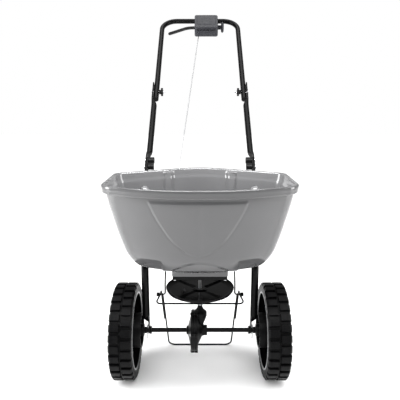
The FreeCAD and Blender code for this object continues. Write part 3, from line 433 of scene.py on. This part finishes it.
def arc_through(start, middle, end, count):
    """Points on the circle through three points of the plane, without the last."""
    (ax, ay), (bx, by), (cx, cy) = start, middle, end
    d = 2 * (ax * (by - cy) + bx * (cy - ay) + cx * (ay - by))
    a2, b2, c2 = ax * ax + ay * ay, bx * bx + by * by, cx * cx + cy * cy
    ux = (a2 * (by - cy) + b2 * (cy - ay) + c2 * (ay - by)) / d
    uy = (a2 * (cx - bx) + b2 * (ax - cx) + c2 * (bx - ax)) / d
    radius = math.hypot(ax - ux, ay - uy)
    first = math.atan2(ay - uy, ax - ux)
    last = math.atan2(cy - uy, cx - ux)
    turn = (last - first + math.pi) % (2 * math.pi) - math.pi
    angles = [first + turn * k / count for k in range(count)]
    return [(ux + radius * math.cos(a), uy + radius * math.sin(a)) for a in angles]


def straight(start, end, count):
    """Points from start to end of the plane, without the last."""
    return [
        (start[0] + (end[0] - start[0]) * k / count, start[1] + (end[1] - start[1]) * k / count)
        for k in range(count)
    ]


def unit_outline():
    """The rim's outline as shares of the half width and of the depth from back to front."""
    half, length = 232.0, 360.0
    corners = [
        (0.0, 1.0), (0.46, 0.971), (0.85, 0.872), (0.965, 0.812), (1.0, 0.715), (1.0, 0.345),
        (0.985, 0.300), (0.93, 0.268), (0.27, 0.045), (0.14, 0.012), (0.0, 0.0),
    ]
    c = [(x * half, y * length) for x, y in corners]
    right = arc_through(*c[0:3], 66)  # the bowed front
    right += arc_through(*c[2:5], 10)  # the front corner
    right += straight(*c[4:6], 16)  # the side
    right += arc_through(*c[5:8], 6)  # the back corner
    right += straight(*c[7:9], 40)  # the slanting back
    right += arc_through(*c[8:11], 14)  # the middle of the back
    right.append(c[10])
    left = [(-x, y) for x, y in right[-2:0:-1]]
    return [(x / half, y / length) for x, y in right + left]


OUTLINE = unit_outline()


def outline_at(height, inset):
    """The hopper's closed outline at a height, moved in by an inset."""
    half, front, back = level_at(height)
    half, front, back = half - inset, front + inset, back - inset
    return [Vector((x * half, back - y * (back - front), height)) for x, y in OUTLINE]


def eased(share):
    """A smooth step from 0 to 1."""
    share = min(max(share, 0.0), 1.0)
    return share * share * (3 - 2 * share)


def panel_depth(x, height):
    """How far the wall lies back at the curved crease: a groove, then the proud front panel."""
    across = (x - CREASE_MIDDLE) / CREASE_HALF
    crease = CREASE_LOW + CREASE_TALL * across**2
    steep = 2 * CREASE_TALL * across / CREASE_HALF
    inside = (height - crease) / math.hypot(1.0, steep)
    groove = 0.7 * max(0.0, 1 - ((inside + 3.4) / 1.8) ** 2)
    proud = 2.6 * eased((inside + 2.0) / 3.2)
    under_rim = 1 - eased((height - 572) / 14)
    return (groove - proud) * under_rim


def lens_depth(x, height):
    """How far the flats on the hopper's underside cut into its round wall."""
    arch = 418 - 25 * (x / 66) ** 2
    middle = 0.42 * max(arch - height, 0.0) if abs(x) < 92 else 0.0
    side = 0.34 * max(417 - height, 0.0) * eased((abs(x) - 96) / 3)
    side *= 1 - eased((abs(x) - 128) / 38)
    deepest = 11.0
    above_neck = eased((height - 343) / 26)
    return min(middle + side, deepest) * above_neck


def outer_point(point):
    """A point of the outside with the front panel and the underside's flats worked in."""
    front_from = -30
    if point.y > front_from:
        return point
    depth = panel_depth(point.x, point.z) + lens_depth(point.x, point.z)
    return point + Y_AXIS * depth * eased((front_from - point.y) / 25)


def inner_point(point):
    """A point of the inside with the two upright ribs of the back wall worked in."""
    back_from = 40
    if point.y < back_from:
        return point
    rib = eased((abs(point.x) - 76) / 9) * (1 - eased((abs(point.x) - 99) / 9))
    return point - Y_AXIS * 7.0 * rib * eased((point.z - 380) / 60)


def wall_heights(high, low, count):
    """Heights down the wall, evenly spaced along the front's slope."""
    steps = 400
    fine = [high + (low - high) * k / steps for k in range(steps + 1)]
    run = [0.0]
    for a, b in zip(fine, fine[1:]):
        run.append(run[-1] + math.hypot(b - a, level_at(b)[1] - level_at(a)[1]))
    heights = []
    for k in range(count + 1):
        want = run[-1] * k / count
        index = next((i for i, reached in enumerate(run) if reached >= want - 1e-9), steps)
        heights.append(fine[index])
    return heights


LIP_PROFILE = [
    # outwards from the wall, height below the rim
    (-3.0, 6.0), (-2.9, 3.6), (-2.2, 1.6), (-0.8, 0.4), (0.8, 0.0), (4.4, 0.0), (6.2, 0.5),
    (7.5, 1.9), (8.0, 4.0), (8.0, 10.0), (7.7, 15.6), (8.0, 17.6), (7.6, 19.2), (6.5, 20.0),
    (5.5, 19.4), (5.0, 18.0), (5.0, 6.6), (4.0, 4.2), (1.8, 3.2), (0.2, 4.2),
]


def make_bowl():
    """The hopper's bowl as one closed skin: up the inside, over the lip, down the outside."""
    rows = []
    for height in reversed(wall_heights(RIM_Z - 9, LEVELS_END_Z, 90)):
        step_in = 1.6 * eased((588 - height) / 3)
        rows.append([inner_point(p) for p in outline_at(height, SKIN + step_in)])
    for outwards, below in LIP_PROFILE:
        rows.append(outline_at(RIM_Z - below, -outwards))
    for height in wall_heights(RIM_Z - 7, LEVELS_END_Z, 150):
        rows.append([outer_point(p) for p in outline_at(height, 0.0)])
    points = [point for row in rows for point in row]
    bowl = Form().add((points, grid_faces(len(rows), len(OUTLINE), closed_rows=True)))
    piece("hopper_bowl", bowl, "hopper_plastic", "chassis", replaces=("hopper",), sharp=40.0)


def rounded_rectangle(half_x, half_y, radius):
    corners = [(half_x, half_y), (-half_x, half_y), (-half_x, -half_y), (half_x, -half_y)]
    return filleted(corners, radius, 6, closed=True)


def make_neck():
    """The square collar under the bowl with its four screw bosses."""
    outer, inner = rounded_rectangle(78, 60, 9), rounded_rectangle(75, 57, 6)
    upper = 351.0
    levels = [
        (outer, HOPPER_FLOOR + 1), (outer, upper), (inner, upper), (inner, HOPPER_FLOOR),
        (outer, HOPPER_FLOOR),
    ]
    points = [Vector((p[0], p[1], z)) for outline, z in levels for p in outline]
    collar = Form().add((points, grid_faces(len(levels), len(outer), closed_rows=True)))
    hole, boss, boss_top = 2.2, 6, 349
    profile = [(HOPPER_FLOOR, hole), (HOPPER_FLOOR, boss), (boss_top, boss), (boss_top, hole)]
    for x in (70, -70):
        for y in (52, -52):
            collar.add(lathe(profile, "z", (x, y, 0), 24))
    piece("hopper_neck", collar, "hopper_plastic", "chassis", bevel=0.8)


FRAME_X = 159.0  # the round part of the lower tubes
CLAMP_HEIGHTS = (450, 505)  # the bolts that hold the hopper to the lower tubes


def make_channels():
    """The moulded channels round the frame tubes, with domed tops inside the hopper."""
    radius, sides = 15.0, 32
    low, high = Vector((FRAME_X, 12, 398)), Vector((FRAME_X, 37, 532))
    along = (high - low).normalized()
    tip = high + along * 22
    path = [low, (low + high) / 2, high, tip]
    sections = [ring_section(radius, radius, 2.0, sides)] * len(path)
    for step in range(1, 7):
        turn = math.radians(90 * step / 6.3)
        path.append(tip + along * radius * math.sin(turn))
        narrowed = radius * math.cos(turn)
        sections.append(ring_section(narrowed, narrowed, 2.0, sides))
    washer_profile = filleted([(-1.5, 7.6), (-1.5, 10), (4, 10), (4, 7.6)], 0.8, 3, closed=True)
    washer = lathe(washer_profile, "z", steps=32)

    def channel(side, flip):
        form = Form().add(flip(sweep(path, sections)))
        for height in CLAMP_HEIGHTS:
            y = (height - 330) * 52 / 195.6 - 15.4
            points = [Vector((p[0] + FRAME_X, y + p[2], height + p[1])) for p in washer[0]]
            form.add(flip((points, washer[1])))
        piece("hopper_channel_" + side, form, "hopper_plastic", "chassis", sharp=40)

    both_sides(channel)


def make_hanger_lugs():
    """The lugs under the bowl that carry the wire hangers."""
    outline = filleted([(18, 338), (38, 338), (38, 364), (18, 364)], 4, 4, closed=True)
    inner_x, outer_x = 99, 109

    def hanger_lug(side, flip):
        part = prism(outline, inner_x, outer_x, lambda p: Vector((p[2], p[0], p[1])))
        piece("hanger_lug_" + side, Form().add(flip(part)), "hopper_plastic", "chassis", bevel=0.8)

    both_sides(hanger_lug)


# ---------------------------------------------------------------- wheels

LUG_COUNT = 30
TYRE_INNER = 185.0
TYRE_MIDDLE = (TYRE_INNER + WHEEL_HIGH.x) / 2
GROOVE_RADIUS = 131.0
TREAD_RADIUS = WHEEL_HIGH.y - 0.1
HUB_CENTRE = (0, 0, AXLE_Z)


def wheel_body(side):
    """The right wheel drives the axle; the left one runs free."""
    return "drive" if side == "right" else "wheel_left"


def lug(section, middle, half_top, half_root):
    """One tread lug: a section in (x, radius) carried round a short arc of the wheel."""
    points = []
    columns = len(section)
    for share in (-1, -0.33, 0.33, 1):
        for x, radius in section:
            deep = (TREAD_RADIUS - radius) / (TREAD_RADIUS - GROOVE_RADIUS)
            half = half_top + (half_root - half_top) * min(max(deep, 0), 1)
            angle = middle + share * half
            points.append(Vector((x, radius * math.cos(angle), AXLE_Z + radius * math.sin(angle))))
    faces = grid_faces(4, columns)
    faces += [tuple(range(columns))[::-1], tuple(range(3 * columns, 4 * columns))]
    return points, faces


def make_tread():
    """The tyres with two rows of lugs half a step apart, and the pale bands inside their rims: light grey rings
    that are a painted highlight on the edge of each rim opening.
    """
    inner, outer, middle = TYRE_INNER, WHEEL_HIGH.x, TYRE_MIDDLE
    carcass = filleted(
        [(inner + 0.6, 111), (inner + 0.6, 128), (inner + 3, 133), (outer - 3, 133),
         (outer - 0.6, 128), (outer - 0.6, 111), (outer - 5, 111), (outer - 5, 126),
         (inner + 5, 126), (inner + 5, 111)], 1.6, 4, closed=True)
    rib = filleted(
        [(middle - 1.3, GROOVE_RADIUS), (middle - 1.3, 136.4), (middle + 1.3, 136.4),
         (middle + 1.3, GROOVE_RADIUS)], 0.8, 3, closed=True)
    # The ring round the rim opening, coloured light grey as a painted highlight of the opening's bright edge.
    edge = filleted(
        [(inner + 0.1, 107.5), (inner + 0.1, 112.2), (inner + 3, 112.2), (inner + 3, 107.5)],
        1.0, 3, closed=True)
    inner_row = [
        (inner, 117), (inner, 133.6), (inner + 4.6, TREAD_RADIUS), (middle - 2.6, TREAD_RADIUS),
        (middle - 2.0, GROOVE_RADIUS), (inner + 3, GROOVE_RADIUS), (inner + 2, 117),
    ]
    outer_row = [(inner + outer - x, radius) for x, radius in inner_row]
    step = 2 * math.pi / LUG_COUNT
    half_top, half_root = math.radians(3.7), math.radians(4.3)

    def tyre(side, flip):
        body = wheel_body(side)
        tread = Form()
        for section, phase in ((inner_row, 0.0), (outer_row, 0.5)):
            for number in range(LUG_COUNT):
                tread.add(flip(lug(section, (number + phase) * step, half_top, half_root)))
        name = "tread_lugs_" + side
        piece(name, tread, "tyre_rubber", body, bevel=0.7)
        form = Form()
        form.add(flip(lathe(carcass, "x", HUB_CENTRE, 180)))
        form.add(flip(lathe(rib, "x", HUB_CENTRE, 180)))
        piece("tyre_" + side, form, "tyre_rubber", body)
        # Painted highlight: a light grey ring where the rim opening's edge catches the light.
        highlight_band = Form().add(flip(lathe(edge, "x", HUB_CENTRE, 120)))
        piece("rim_highlight_band_" + side, highlight_band, "cover_plastic", body)

    both_sides(tyre)


def make_wheel_centres():
    """The spoked centres: a drum round the hub, a floor, a boss and six ribbed spokes."""
    drum_inner, drum_outer, radius = 171.5, 238.0, 50.0
    boss_inner, boss_outer = WHEEL_LOW.x, 234
    web_inner, web_outer = 210, 220
    drum = [(drum_inner, 45), (drum_inner, radius), (drum_outer, radius), (drum_outer, 45)]
    floor = [(web_inner, 17), (web_inner, 46), (web_outer, 46), (web_outer, 17)]
    boss = [(boss_inner, 6.6), (boss_inner, 18), (boss_outer, 18), (boss_outer, 6.6)]
    turned = [
        filleted(drum, 1.6, 4, closed=True),
        filleted(floor, 1.2, 3, closed=True),
        filleted(boss, 1.4, 4, closed=True),
    ]
    root, half, waist, reach = 47, 15.0, 11.0, 127.0
    spoke = filleted(
        [(-half, root), (-waist, 72), (-waist, 100), (-half - 3, reach), (half + 3, reach),
         (waist, 100), (waist, 72), (half, root)], 14, 5, closed=True)
    rib = [(-2.2, root), (-2.2, reach), (2.2, reach), (2.2, root)]
    flats = [(spoke, web_inner, web_outer), (rib, web_inner - 5, web_outer + 5)]

    def centre(side, flip):
        form = Form()
        for profile in turned:
            form.add(flip(lathe(profile, "x", HUB_CENTRE, 96)))
        for number in range(6):
            turn = Matrix.Rotation(math.radians(30 + 60 * number), 3, "X")

            def lift(p):
                return turn @ Vector((p[2], p[0], p[1])) + Vector(HUB_CENTRE)

            for outline, low, high in flats:
                form.add(flip(prism(outline, low, high, lift)))
        piece("wheel_centre_" + side, form, "black_moulding", wheel_body(side),
              replaces=("wheel_" + side,), bevel=0.9)

    both_sides(centre)


def make_wheel_covers():
    """The dished discs on the wheels' outer sides with their three clips."""
    low, high = node_box("wheel_cover_right")
    face = high.x
    back, rim, clip_circle = face - 2.4, 109.7, 78
    profile = filleted(
        [(back, 15.5), (face - 0.2, 15.5), (face - 0.2, 34), (face - 1.2, 36), (face - 1.2, 84),
         (face, 88), (face, 106), (face - 1.0, rim), (back, rim)], 1.0, 3, closed=True)

    def cover(side, flip):
        form = Form().add(flip(lathe(profile, "x", HUB_CENTRE, 144)))
        for number in range(3):
            angle = math.radians(30 + 120 * number)
            y, z = -clip_circle * math.sin(angle), AXLE_Z + clip_circle * math.cos(angle)
            form.add(flip(bar_along_x(low.x, face - 1.5, 4, y, z, 0.5, 0.0, 24)))
        piece("cover_disc_" + side, form, "cover_plastic", wheel_body(side),
              replaces=("wheel_cover_" + side,))

    both_sides(cover)


# ---------------------------------------------------------------- tubes


def flat_and_round(stations):
    """A tube with pressed ends. A station is (point, half width along X, half across, power)."""
    path = [Vector(station[0]) for station in stations]
    sections = [ring_section(a, b, power, 32) for _, a, b, power in stations]
    return sweep(path, sections)


def tapered(start, end, start_size, end_size, steps=5):
    """Stations that turn one section into another, without the two ends."""
    stations = []
    for step in range(1, steps):
        share = eased(step / steps)
        point = Vector(start).lerp(Vector(end), step / steps)
        point.x = start[0] + (end[0] - start[0]) * share
        sizes = [a + (b - a) * share for a, b in zip(start_size, end_size)]
        stations.append((point, *sizes))
    return stations


def rounded_tip(point, along, size):
    """Stations that close a pressed strip with rounded corners."""
    thin, wide, power = size
    return [
        (Vector(point) - along * back, thin, wide * share, power)
        for back, share in ((6.0, 1.0), (3.2, 0.93), (1.2, 0.78), (0.0, 0.5))
    ]


def make_frame_tubes():
    """The lower tubes: pressed feet at the axle, up past the hopper, pressed heads at the bolts."""
    round_size, foot_strip, head_strip = (11, 11, 2.0), (2, 15, 9.0), (2.2, 15, 9.0)
    foot, taper_low = Vector((150, 0, 133)), Vector((150, 0, 172))
    taper_high = Vector((FRAME_X, 0, 188))

    def on_slant(y):
        return Vector((FRAME_X, y, FOLD.z - (FOLD.y - y) * math.tan(HANDLE_ANGLE)))

    end = on_slant(118)
    stations = rounded_tip(foot, -Z_AXIS, foot_strip)[::-1]
    stations.append((taper_low, *foot_strip))
    stations += tapered(taper_low, taper_high, foot_strip, round_size)
    path = route([taper_high, (FRAME_X, 0, 330), on_slant(52), end], [80, 60], 12)
    stations += [(point, *round_size) for point in path]
    plate = end + ALONG * 22 + X_AXIS * 3
    stations += tapered(end, plate, round_size, head_strip)
    stations.append((plate, *head_strip))
    stations += rounded_tip(plate + ALONG * 50, ALONG, head_strip)

    def tube(side, flip):
        form = Form().add(flip(flat_and_round(stations)))
        piece("frame_rail_" + side, form, "black_tube", "chassis", replaces=("frame_tube_" + side,))

    both_sides(tube)


def make_mid_tubes():
    """The middle handle tubes, pressed flat where they are bolted."""
    round_size, strip = (9.5, 9.5, 2.0), (2, 14.5, 9.0)
    plate_x = 166.5
    low_plate, low_round = on_handle_line(plate_x, -314), on_handle_line(FRAME_X, -290)
    high_round, high_plate = on_handle_line(FRAME_X, -71), on_handle_line(plate_x, -41)
    stations = rounded_tip(on_handle_line(plate_x, -371), -ALONG, strip)[::-1]
    stations.append((low_plate, *strip))
    stations += tapered(low_plate, low_round, strip, round_size)
    middle = on_handle_line(FRAME_X, -180)
    stations += [(point, *round_size) for point in (low_round, middle, high_round)]
    stations += tapered(high_round, high_plate, round_size, strip)
    stations.append((high_plate, *strip))
    stations += rounded_tip(on_handle_line(plate_x, 42), ALONG, strip)

    def tube(side, flip):
        form = Form().add(flip(flat_and_round(stations)))
        piece("mid_rail_" + side, form, "black_tube", "chassis", replaces=("mid_tube_" + side,))

    both_sides(tube)


def make_handle_bow():
    """The handle loop, one tube with two round bends."""
    x, tail, bend, radius = 154.5, -37, 60, 9.5
    points = [
        on_handle_line(x, tail), on_handle_line(x, BAR_DISTANCE),
        on_handle_line(-x, BAR_DISTANCE), on_handle_line(-x, tail),
    ]
    path = route(points, [bend, bend], 20)
    section = ring_section(radius, radius, 2.0, 36)
    form = Form().add(sweep(path, [section] * len(path)))
    piece("handle_loop", form, "black_tube", "handle", replaces=("handle_bow",))


def make_wires():
    """The wire hangers, the stand that hangs from them and the front brace that joins them."""
    x, y, z, thick = 104, 30, 240, 2.5
    hanger = [
        (x, y - 14, 345), (x, y + 16, 345), (x, y + 16, 300), (x, y, 270), (x, y, z),
        (x + 22, y, z),
    ]

    def hang(side, flip):
        form = Form().add(flip(wire(hanger, [7, 12, 12, 7], thick)))
        piece("hanger_wire_" + side, form, "black_wire", "chassis",
              replaces=("wire_hanger_" + side,))

    both_sides(hang)
    knuckle = (x + 8, y + 2 * thick + 0.1, z)
    foot_y = 155
    stand = [knuckle, (x, foot_y, thick), (-x, foot_y, thick), (-knuckle[0], *knuckle[1:])]
    form = Form().add(wire(stand, [22, 22], thick))
    piece("stand_loop", form, "black_wire", "chassis", replaces=("stand_wire",))
    over = z + 2 * thick + 0.2
    right = [
        (x + 8.5, 96, 128), (x + 13.5, y + 18, over), (x + 13.5, y - 10, over), (128, -25, 236),
    ]
    left = [(-p[0], p[1], p[2]) for p in reversed(right)]
    form = Form().add(wire(right + left, [12, 20, 12, 12, 20, 12], thick))
    piece("brace_loop", form, "black_wire", "chassis", replaces=("front_brace_wire",))


def make_control_rod():
    """The thin rod from the lever down behind the hopper to the shutter."""
    points = [
        on_handle((-3, -48, 9)), on_handle((-3, -48, -15.5)),
        Vector((-64, 165, 610)), Vector((-50, 95, 352)), Vector((-50, 95, 311)),
    ]
    form = Form().add(wire(points, [5, 60, 20], 1.5, 12))
    piece("rate_rod", form, "bright_steel", "control_rod", replaces=("control_rod",))


# ---------------------------------------------------------------- spreading disc and outlet


def make_disc():
    """The dished disc with its hub, turned-up rim and four low vanes."""
    low, top, radius = DISC_LOW.z, DISC_HIGH.z, DISC_HIGH.x
    section = [
        (low, 4.6), (low, 20), (low + 6, 21), (low + 6, radius - 9), (low + 8.5, radius - 2.5),
        (top - 3, radius), (top, radius), (top, radius - 2.6), (top - 3.5, radius - 3.2),
        (low + 10.2, radius - 8), (low + 8.5, radius - 14), (low + 8.5, 24), (low + 12, 16),
        (low + 12, 4.6),
    ]
    form = Form().add(lathe(filleted(section, 1.6, 4, closed=True), "z", steps=160))
    root, ridge = low + 8, low + 13.2
    vane = filleted(
        [(17, root), (90, root), (90, ridge - 1.2), (84, ridge), (17, ridge)], 1.5, 3, closed=True)
    for number in range(4):
        turn = Matrix.Rotation(math.radians(45 + 90 * number), 3, "Z")
        form.add(prism(vane, -1.2, 1.2, lambda p: turn @ Vector((p[0], p[2], p[1]))))
    piece("spreading_disc", form, "gloss_black", "impeller", replaces=("impeller_disc",), bevel=0.4)


# ---------------------------------------------------------------- gearbox


def make_gearbox():
    """The round two-part gear case with four screw ears and the case of the upright shaft."""
    left, right, seam, radius = -26.8, -6.3, -16.5, 60.0
    bore, gap, wall = 6.6, 0.1, 3.0
    cover = filleted(
        [(-40, bore), (-40, 13), (-35, 13), (-35, 16), (left, 46), (left, 57),
         (left + wall, radius), (seam - gap, radius), (seam - gap, radius - wall),
         (left + 4, radius - wall), (left + 4, 44), (-32, 14), (-32, bore)], 1.6, 4, closed=True)
    housing = filleted(
        [(seam + gap, radius - wall), (seam + gap, radius), (right - wall, radius), (right, 57),
         (right, 42), (6.3, 17), (13, 15.3), (21, 15.3), (21, bore), (17, bore), (4, 13),
         (right - wall, 40), (right - wall, 56)], 1.6, 4, closed=True)
    shaft_case = filleted(
        [(152, 4.6), (152, 9), (162, 11), (187, 20), (199, 20), (206, 12), (215, 7.4), (220, 7.4),
         (220, 4.6)], 1.8, 4, closed=True)
    ear_circle, ear_radius, screw_hole = 61.5, 5.5, 1.8
    near, far = Form(), Form()
    for degrees in (105, 165, 255, 315):
        y = ear_circle * math.cos(math.radians(degrees))
        z = AXLE_Z + ear_circle * math.sin(math.radians(degrees))
        near.add(bar_along_x(left, seam - gap, ear_radius, y, z, 0.8, screw_hole, 32))
        far.add(bar_along_x(seam + gap, right, ear_radius, y, z, 0.8, screw_hole, 32))
    near.add(lathe(cover, "x", HUB_CENTRE, 120))
    far.add(lathe(housing, "x", HUB_CENTRE, 120))
    far.add(lathe(shaft_case, "z", steps=64))
    piece("gear_cover", near, "black_moulding", "chassis", replaces=("gearbox_cover",))
    piece("gear_case", far, "black_moulding", "chassis", replaces=("gearbox_housing",))


# ---------------------------------------------------------------- control box


def make_control_box():
    """The two halves of the control box round the crossbar."""
    left, right, low, high, back, front = -22, 73, -76, 14, -23, 22
    split = 0.25
    corners = [(left, low), (right, low), (right, high), (left, high)]
    outline = filleted(corners, 10, 6, closed=True)
    raised = filleted(
        [(left + 9, low + 20), (right - 9, low + 20), (right - 9, high - 7), (left + 9, high - 7)],
        8, 6, closed=True)
    lip = filleted(
        [(left + 2, low), (right - 2, low), (right - 5, low + 12), (left + 5, low + 12)],
        5, 5, closed=True)
    form = Form().add(prism(outline, split, front - 1.5, on_handle))
    form.add(prism(raised, front - 4, front, on_handle))
    piece("control_case_front", form, "box_plastic", "handle",
          replaces=("control_box_front",), bevel=2.2)
    form = Form().add(prism(outline, back, -split, on_handle))
    form.add(prism(lip, -6, front - 5, on_handle))
    piece("control_case_rear", form, "box_plastic", "handle",
          replaces=("control_box_rear",), bevel=2.2)


CONTROL_ALONG = -45.0  # where the lever's pin and the dial sit, measured from the crossbar


def make_lever():
    """The bent lever: a ring round its pin, a slightly waisted arm and a domed tip."""
    pivot, elbow, tip = (50, CONTROL_ALONG, 0), (-50, -49, 0), (-122, -90, 0)
    half, waist, dome = 6.0, 0.9, 6.4
    arm = [on_handle(point) for point in route([pivot, elbow, tip], [70], 14)]
    sections = []
    for index in range(len(arm)):
        share = index / (len(arm) - 1)
        sections.append(ring_section(half - waist * math.sin(math.pi * share), half, 2.6, 28))
    end, ahead = arm[-1], (arm[-1] - arm[-2]).normalized()
    for step in range(1, 7):
        turn = math.radians(90 * step / 6.4)
        arm.append(end + ahead * dome * math.sin(turn))
        narrowed = half * math.cos(turn)
        sections.append(ring_section(narrowed, narrowed, 2.3, 28))
    form = Form().add(sweep(arm, sections))
    ring = filleted([(-7.5, 3.1), (-7.5, 10), (7.5, 10), (7.5, 3.1)], 0.8, 3, closed=True)
    points, faces = lathe(ring, "z", pivot, 48)
    form.add(([on_handle(point) for point in points], faces))
    piece("rate_lever", form, "lever_plastic", "control_lever", replaces=("control_lever",))


def make_rate_knob():
    """The ribbed dial on the box's side."""
    profile = [
        (63.6, 0.01), (63.6, 8.3), (64.4, 8.5), (64.4, 11), (69.2, 11), (69.2, 8.5), (86.4, 8.5),
        (86.4, 16.5), (89, 20.5), (93.5, 20.5), (96.6, 16), (97.2, 9), (96.4, 8), (96.4, 0.01),
    ]
    centre = (0, CONTROL_ALONG, 0)
    points, faces = lathe(filleted(profile, 0.8, 3), "x", centre, 192, wave=(32, 0.9))
    form = Form().add(([on_handle(point) for point in points], faces))
    piece("rate_dial", form, "box_plastic", "rate_knob", replaces=("rate_knob",))


def make_wing_knobs():
    """The wing knobs on the fold bolts: a ribbed hub and a blade."""
    inner, outer, bore = 130.7, 144.6, 3.3
    outline = filleted([(-14, -2.6), (14, -2.6), (14, 2.6), (-14, 2.6)], 2.5, 5, closed=True)
    blade = prism(outline, 131.5, 138.5, lambda p: Vector((p[2], FOLD.y + p[1], FOLD.z + p[0])))

    def knob(side, flip):
        form = Form()
        form.add(flip(bar_along_x(inner, outer, 8, FOLD.y, FOLD.z, 1.2, bore, 48, (12, 0.5))))
        form.add(flip(blade))
        piece("wing_nut_" + side, form, "black_moulding", "wing_knob_" + side,
              replaces=("wing_knob_" + side,), bevel=0.5)

    both_sides(knob)


def finish_cad_nodes():
    """A procedural finish for every CAD node, shown or hidden, by its slot in the record."""
    for part in frame["record"]["subparts"]:
        obj = NODES[part["node"]]
        obj.data.materials.clear()
        obj.data.materials.append(MATERIALS[part["material_slot"]])


# ---------------------------------------------------------------- stage, lights and camera


def area_light(name, place, target, size, power):
    """A rectangular soft light that the camera does not see, aimed at a target. In metres."""
    data = bpy.data.lights.new(name, "AREA")
    data.shape = "RECTANGLE"
    data.size, data.size_y = size
    data.energy = power
    light = bpy.data.objects.new(name, data)
    light.location = place
    aim = Vector(target) - Vector(place)
    light.rotation_euler = aim.to_track_quat("-Z", "Y").to_euler()
    light.visible_camera = False
    bpy.context.scene.collection.objects.link(light)


def white_background(tree, strength):
    """A plain white background shader."""
    shader = tree.nodes.new("ShaderNodeBackground")
    shader.inputs["Color"].default_value = (1, 1, 1, 1)
    shader.inputs["Strength"].default_value = strength
    return shader.outputs["Background"]


def make_floor():
    """A wide, nearly white floor."""
    material, shader = new_material("pale_floor", (0.93, 0.93, 0.93), 0.9, specular=0.0)
    tree = material.node_tree
    coordinates = tree.nodes.new("ShaderNodeTexCoord").outputs["Object"]
    patches = noise(tree, coordinates, 1.5, 2.0)
    tree.links.new(tinted(tree, patches, (0.925,) * 3, (0.935,) * 3), shader.inputs["Base Color"])
    bpy.ops.mesh.primitive_plane_add(size=14, location=(0, 3.0, 0))
    floor = bpy.context.object
    floor.name = "floor"
    floor.data.materials.append(material)


def make_world():
    """A white studio: full white behind the machine, dimmer as a light on it."""
    world = bpy.data.worlds.new("studio")
    bpy.context.scene.world = world
    world.use_nodes = True
    tree = world.node_tree
    seen = tree.nodes.new("ShaderNodeLightPath")
    mix = tree.nodes.new("ShaderNodeMixShader")
    tree.links.new(seen.outputs["Is Camera Ray"], mix.inputs["Fac"])
    tree.links.new(white_background(tree, 0.36), mix.inputs[1])
    tree.links.new(white_background(tree, 1.0), mix.inputs[2])
    tree.links.new(mix.outputs["Shader"], tree.nodes["World Output"].inputs["Surface"])
    bpy.context.scene.view_settings.view_transform = "Standard"


def make_lights():
    """A wide soft sun from above, tall softboxes at the sides, and two fill lights."""
    data = bpy.data.lights.new("overhead", "SUN")
    data.energy = 3.2
    data.angle = math.radians(70)
    overhead = bpy.data.objects.new("overhead", data)
    overhead.rotation_euler = (math.radians(9), math.radians(-3), 0)
    bpy.context.scene.collection.objects.link(overhead)
    machine, floor_ahead, hopper_back = (0, 0, 0.45), (0, -0.7, 0), (0, 0.12, 0.52)
    area_light("softbox_left", (-2.0, -0.35, 0.95), machine, (0.9, 1.6), 72)
    area_light("softbox_right", (2.0, -0.35, 0.95), machine, (0.8, 1.6), 38)
    area_light("softbox_front", (0, -1.6, 2.5), floor_ahead, (2.2, 0.6), 22)
    area_light("softbox_hopper", (0, -0.12, 0.86), hopper_back, (0.5, 0.08), 5.4)


def make_camera():
    """The photograph's viewpoint: a little above the hopper, looking slightly down."""
    data = bpy.data.cameras.new("camera")
    data.sensor_width = 36.0
    data.lens = 40.32
    camera = bpy.data.objects.new("camera", data)
    camera.location = (0, -1.221, 0.802)
    camera.rotation_euler = (math.radians(77.7), 0, 0)
    bpy.context.scene.collection.objects.link(camera)
    bpy.context.scene.camera = camera


make_camera()
make_floor()
make_world()
make_lights()
finish_cad_nodes()
make_bowl()
make_neck()
make_channels()
make_hanger_lugs()
make_tread()
make_wheel_centres()
make_wheel_covers()
make_frame_tubes()
make_mid_tubes()
make_handle_bow()
make_wires()
make_control_rod()
make_disc()
make_gearbox()
make_control_box()
make_lever()
make_rate_knob()
make_wing_knobs()
